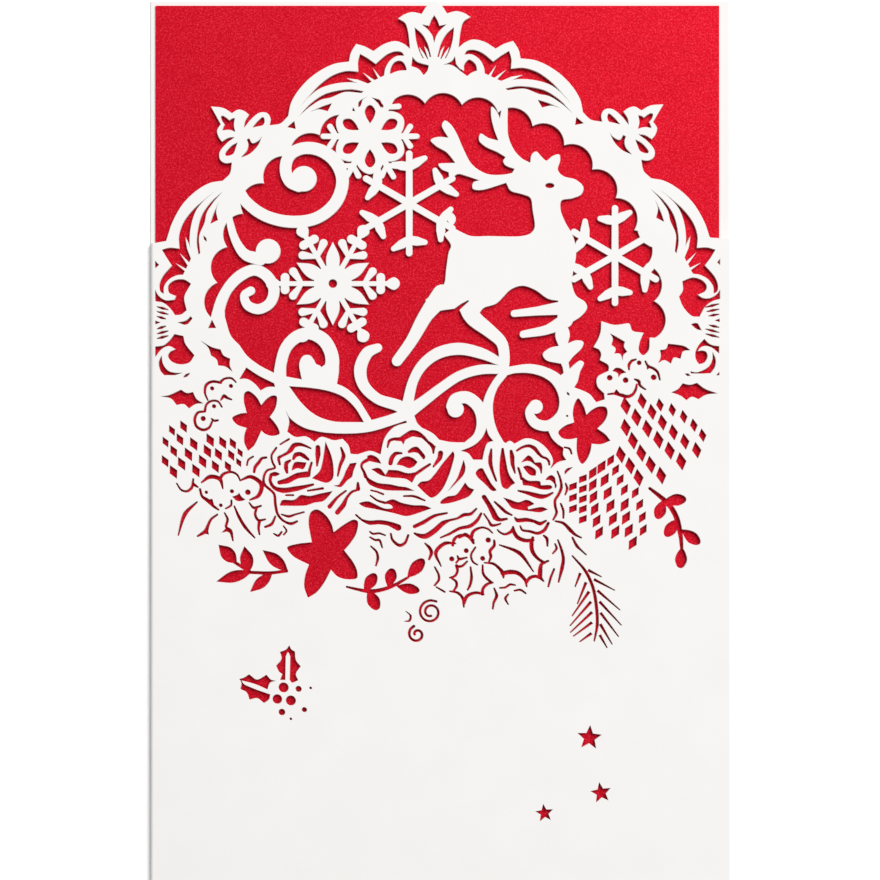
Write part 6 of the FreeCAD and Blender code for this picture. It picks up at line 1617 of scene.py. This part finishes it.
def slab_tree():
    tree, given = new_tree("slab_of_card", [
        ("Thickness", "Float", None), ("Middle Height", "Float", None), ("Taper", "Float", None)])
    lift = node(tree, "ShaderNodeCombineXYZ", {"Z": given["Thickness"]})
    raised = node(tree, "GeometryNodeExtrudeMesh", {
        "Mesh": given["Geometry"], "Offset": lift, "Individual": False}, mode="FACES")
    under = node(tree, "GeometryNodeFlipFaces", {"Mesh": given["Geometry"]})
    joined = node(tree, "GeometryNodeJoinGeometry")
    for half in (under, raised):
        tree.links.new(half.outputs["Mesh"], joined.inputs[0])
    closed = node(tree, "GeometryNodeMergeByDistance", {"Geometry": joined, "Distance": WELD})
    leaning = node(tree, "GeometryNodeSetPosition", {
        "Geometry": closed, "Offset": step_outwards(tree, given["Taper"]),
        "Selection": foot_of_a_hole(tree, given)})
    real = node(tree, "GeometryNodeRealizeInstances", {"Geometry": leaning})
    # All but the top gets the dark edge colour: scorch and smoke stain, and painted shade for the slits and
    # the gap.
    scorch_stain_and_painted_shade = node(tree, "GeometryNodeSetMaterial", {"Geometry": real, "Material": EDGE})
    white = node(tree, "GeometryNodeSetMaterial", {
        "Geometry": scorch_stain_and_painted_shade, "Material": WHITE, "Selection": raised.outputs["Top"]})
    node(tree, "NodeGroupOutput", {"Geometry": white})
    return tree


front_leaf = run_tree(slab_tree(), largest_piece(*flat_sheet()), {
    "Thickness": PAPER * MM, "Middle Height": (FRONT_UNDER + PAPER / 2) * MM, "Taper": TAPER})
print("front leaf:", len(front_leaf.polygons), "faces")

# %% [markdown]
# ## The fold and the back leaf
# Card this thick is scored and folded, and springs open a little: it bends round a radius of less than a
# millimetre. The bend is a C-shaped band swept from the bottom of the card up to the left shoulder. Above
# it the back leaf runs on alone behind the medallion.

# %% Fold
FOLD_STEPS = 24
bend_x = BEND_RADIUS - CARD_WIDTH / 2
left_shoulder = SHOULDER_LEFT * CARD_HEIGHT / BOARD_HEIGHT
bottom = -CARD_HEIGHT / 2


def arc(radius):
    """Half a turn round the bend, from the front leaf to the back leaf, in X and Z."""
    turns = [radians(90 + 180 * k / FOLD_STEPS) for k in range(FOLD_STEPS + 1)]
    return [(bend_x + radius * cos(t), BEND_RADIUS + radius * sin(t)) for t in turns]


def prism(name, ring, low_end, high_end, place):
    """A closed solid between two copies of a ring; place turns a ring point and a height into x, y, z."""
    count = len(ring)
    points = [place(p, low_end) for p in ring] + [place(p, high_end) for p in ring]
    faces = [tuple(range(count - 1, -1, -1)), tuple(range(count, 2 * count))]
    faces += [(k, (k + 1) % count, count + (k + 1) % count, count + k) for k in range(count)]
    return add_object(name, new_mesh(name, [[value * MM for value in p] for p in points], faces=faces))


band = arc(BEND_RADIUS) + arc(BEND_RADIUS - PAPER)[::-1]
fold = prism("fold", band[::-1], bottom, left_shoulder, lambda p, y: (p[0], y, p[1]))
plate = [(bend_x, bottom), (CARD_WIDTH / 2, bottom), (CARD_WIDTH / 2, -bottom), (-CARD_WIDTH / 2, -bottom),
         (-CARD_WIDTH / 2, left_shoulder), (bend_x, left_shoulder)]
back_leaf = prism("back_leaf", plate, 0.0, PAPER, lambda p, z: (p[0], p[1], z))
print("fold of radius", round(BEND_RADIUS, 3), "mm, up to", round(left_shoulder, 1), "mm")

# %% [markdown]
# The two are joined as one sheet. The front leaf's wall at the bend and the fold's end face there are
# taken away, and the edges that are left are merged, so the card is one closed skin.

# %% One sheet
CLOSE = 1e-3                # millimetres within which a corner counts as being at the bend
SEAM = 2e-6                 # metres across which the edges of the two meshes are merged
union = back_leaf.modifiers.new("union", "BOOLEAN")
union.operation = "UNION"
union.solver = "EXACT"
union.object = fold
folded = evaluated_mesh(back_leaf)
bpy.data.objects.remove(fold)
bpy.data.objects.remove(back_leaf)


def at_bend(face):
    """Whether a face is the cross section of the front leaf at the end of the bend."""
    return all(abs(v.co.x / MM - bend_x) < CLOSE and v.co.z / MM > FRONT_UNDER - CLOSE for v in face.verts)


def joined_card():
    card = bmesh.new()
    for mesh in (folded, front_leaf):
        card.from_mesh(mesh)
    bmesh.ops.delete(card, geom=[face for face in card.faces if at_bend(face)], context="FACES")
    bmesh.ops.remove_doubles(card, verts=card.verts, dist=SEAM)
    open_edges = [edge for edge in card.edges if len(edge.link_faces) != 2]
    print("edges not shared by two faces:", len(open_edges))
    mesh = bpy.data.meshes.new("lace_card")
    card.to_mesh(mesh)
    card.free()
    return mesh


lace = joined_card()
lace.materials.clear()
for finish in (WHITE, EDGE):
    lace.materials.append(finish)
print("lace card:", len(lace.polygons), "faces")

# %% [markdown]
# The walls of the curved holes and the bend are shaded smooth; every edge over 30 degrees stays crisp.
# The object stands for the plain cover of the frame, and the red insert of the frame stays and is only
# painted.

# %% Placing the card in the frame
CRISP_ANGLE = 30
lace.polygons.foreach_set("use_smooth", [True] * len(lace.polygons))
lace.set_sharp_from_angle(angle=radians(CRISP_ANGLE))
card_cover = add_object("lace_card", lace)
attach(card_cover, "root")
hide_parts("card_cover")

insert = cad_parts["red_insert"]
for material_slot in insert.material_slots:
    material_slot.material = RED
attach(insert, "root")

# %% [markdown]
# ## Floor, light and camera
# The card lies on a white table, seen from straight above through an 85 mm lens. A broad soft light
# stands high at the upper right, and an even white surround fills the shadows, so the lace throws only a
# narrow soft shadow on the red card.

# %% Floor
HALF_FLOOR = 1.5
FLOOR_GAP = 0.05 * MM       # air under the card, so that the two faces don't lie in one plane
corners = [(-HALF_FLOOR, -HALF_FLOOR, 0), (HALF_FLOOR, -HALF_FLOOR, 0), (HALF_FLOOR, HALF_FLOOR, 0),
           (-HALF_FLOOR, HALF_FLOOR, 0)]
floor = add_object("table_top", new_mesh("table_top", corners, faces=[(0, 1, 2, 3)]))
floor.location.z = -FLOOR_GAP
table_paint, table_tree = blank_material("white_table_paint")
table_shader = node(table_tree, "ShaderNodeBsdfPrincipled", {
    "Base Color": paint("#ffffff"), "Roughness": 0.9, "Specular IOR Level": 0.1})
node(table_tree, "ShaderNodeOutputMaterial", {"Surface": table_shader})
floor.data.materials.append(table_paint)

# %% Light
SURROUND_STRENGTH = 0.26
KEY_POWER = 163.0
KEY_SIZE = 2.7
KEY_PLACE = (1.44, 1.9, 2.65)
world = bpy.data.worlds.new("white_studio")
world.use_nodes = True
surround = world.node_tree.nodes["Background"].inputs
surround["Color"].default_value = paint("#ffffff")
surround["Strength"].default_value = SURROUND_STRENGTH
bpy.context.scene.world = world
key = bpy.data.lights.new("softbox", "AREA")
key.shape = "DISK"
key.size = KEY_SIZE
key.energy = KEY_POWER
softbox = add_object("softbox", key)
softbox.location = KEY_PLACE
softbox.rotation_euler = (Vector((0, 0, 0)) - softbox.location).to_track_quat("-Z", "Y").to_euler()

# %% Camera
LENS = 85.0
SENSOR = 36.0
NEAREST = 0.01              # metres from the lens within which nothing is drawn
FRAME_WIDTH = 182.1 * MM    # width of the view at the height of the front leaf
CAMERA_Y = 1.448 * MM       # how far the camera stands towards the card's top edge
lens = bpy.data.cameras.new("camera")
lens.lens = LENS
lens.sensor_width = SENSOR
lens.clip_start = NEAREST
camera = add_object("camera", lens)
camera.location = (0, CAMERA_Y, high[2] * MM + LENS * FRAME_WIDTH / SENSOR)
bpy.context.scene.camera = camera
bpy.context.scene.view_settings.view_transform = "Standard"
print("camera", round(camera.location.z / MM), "mm above the table")
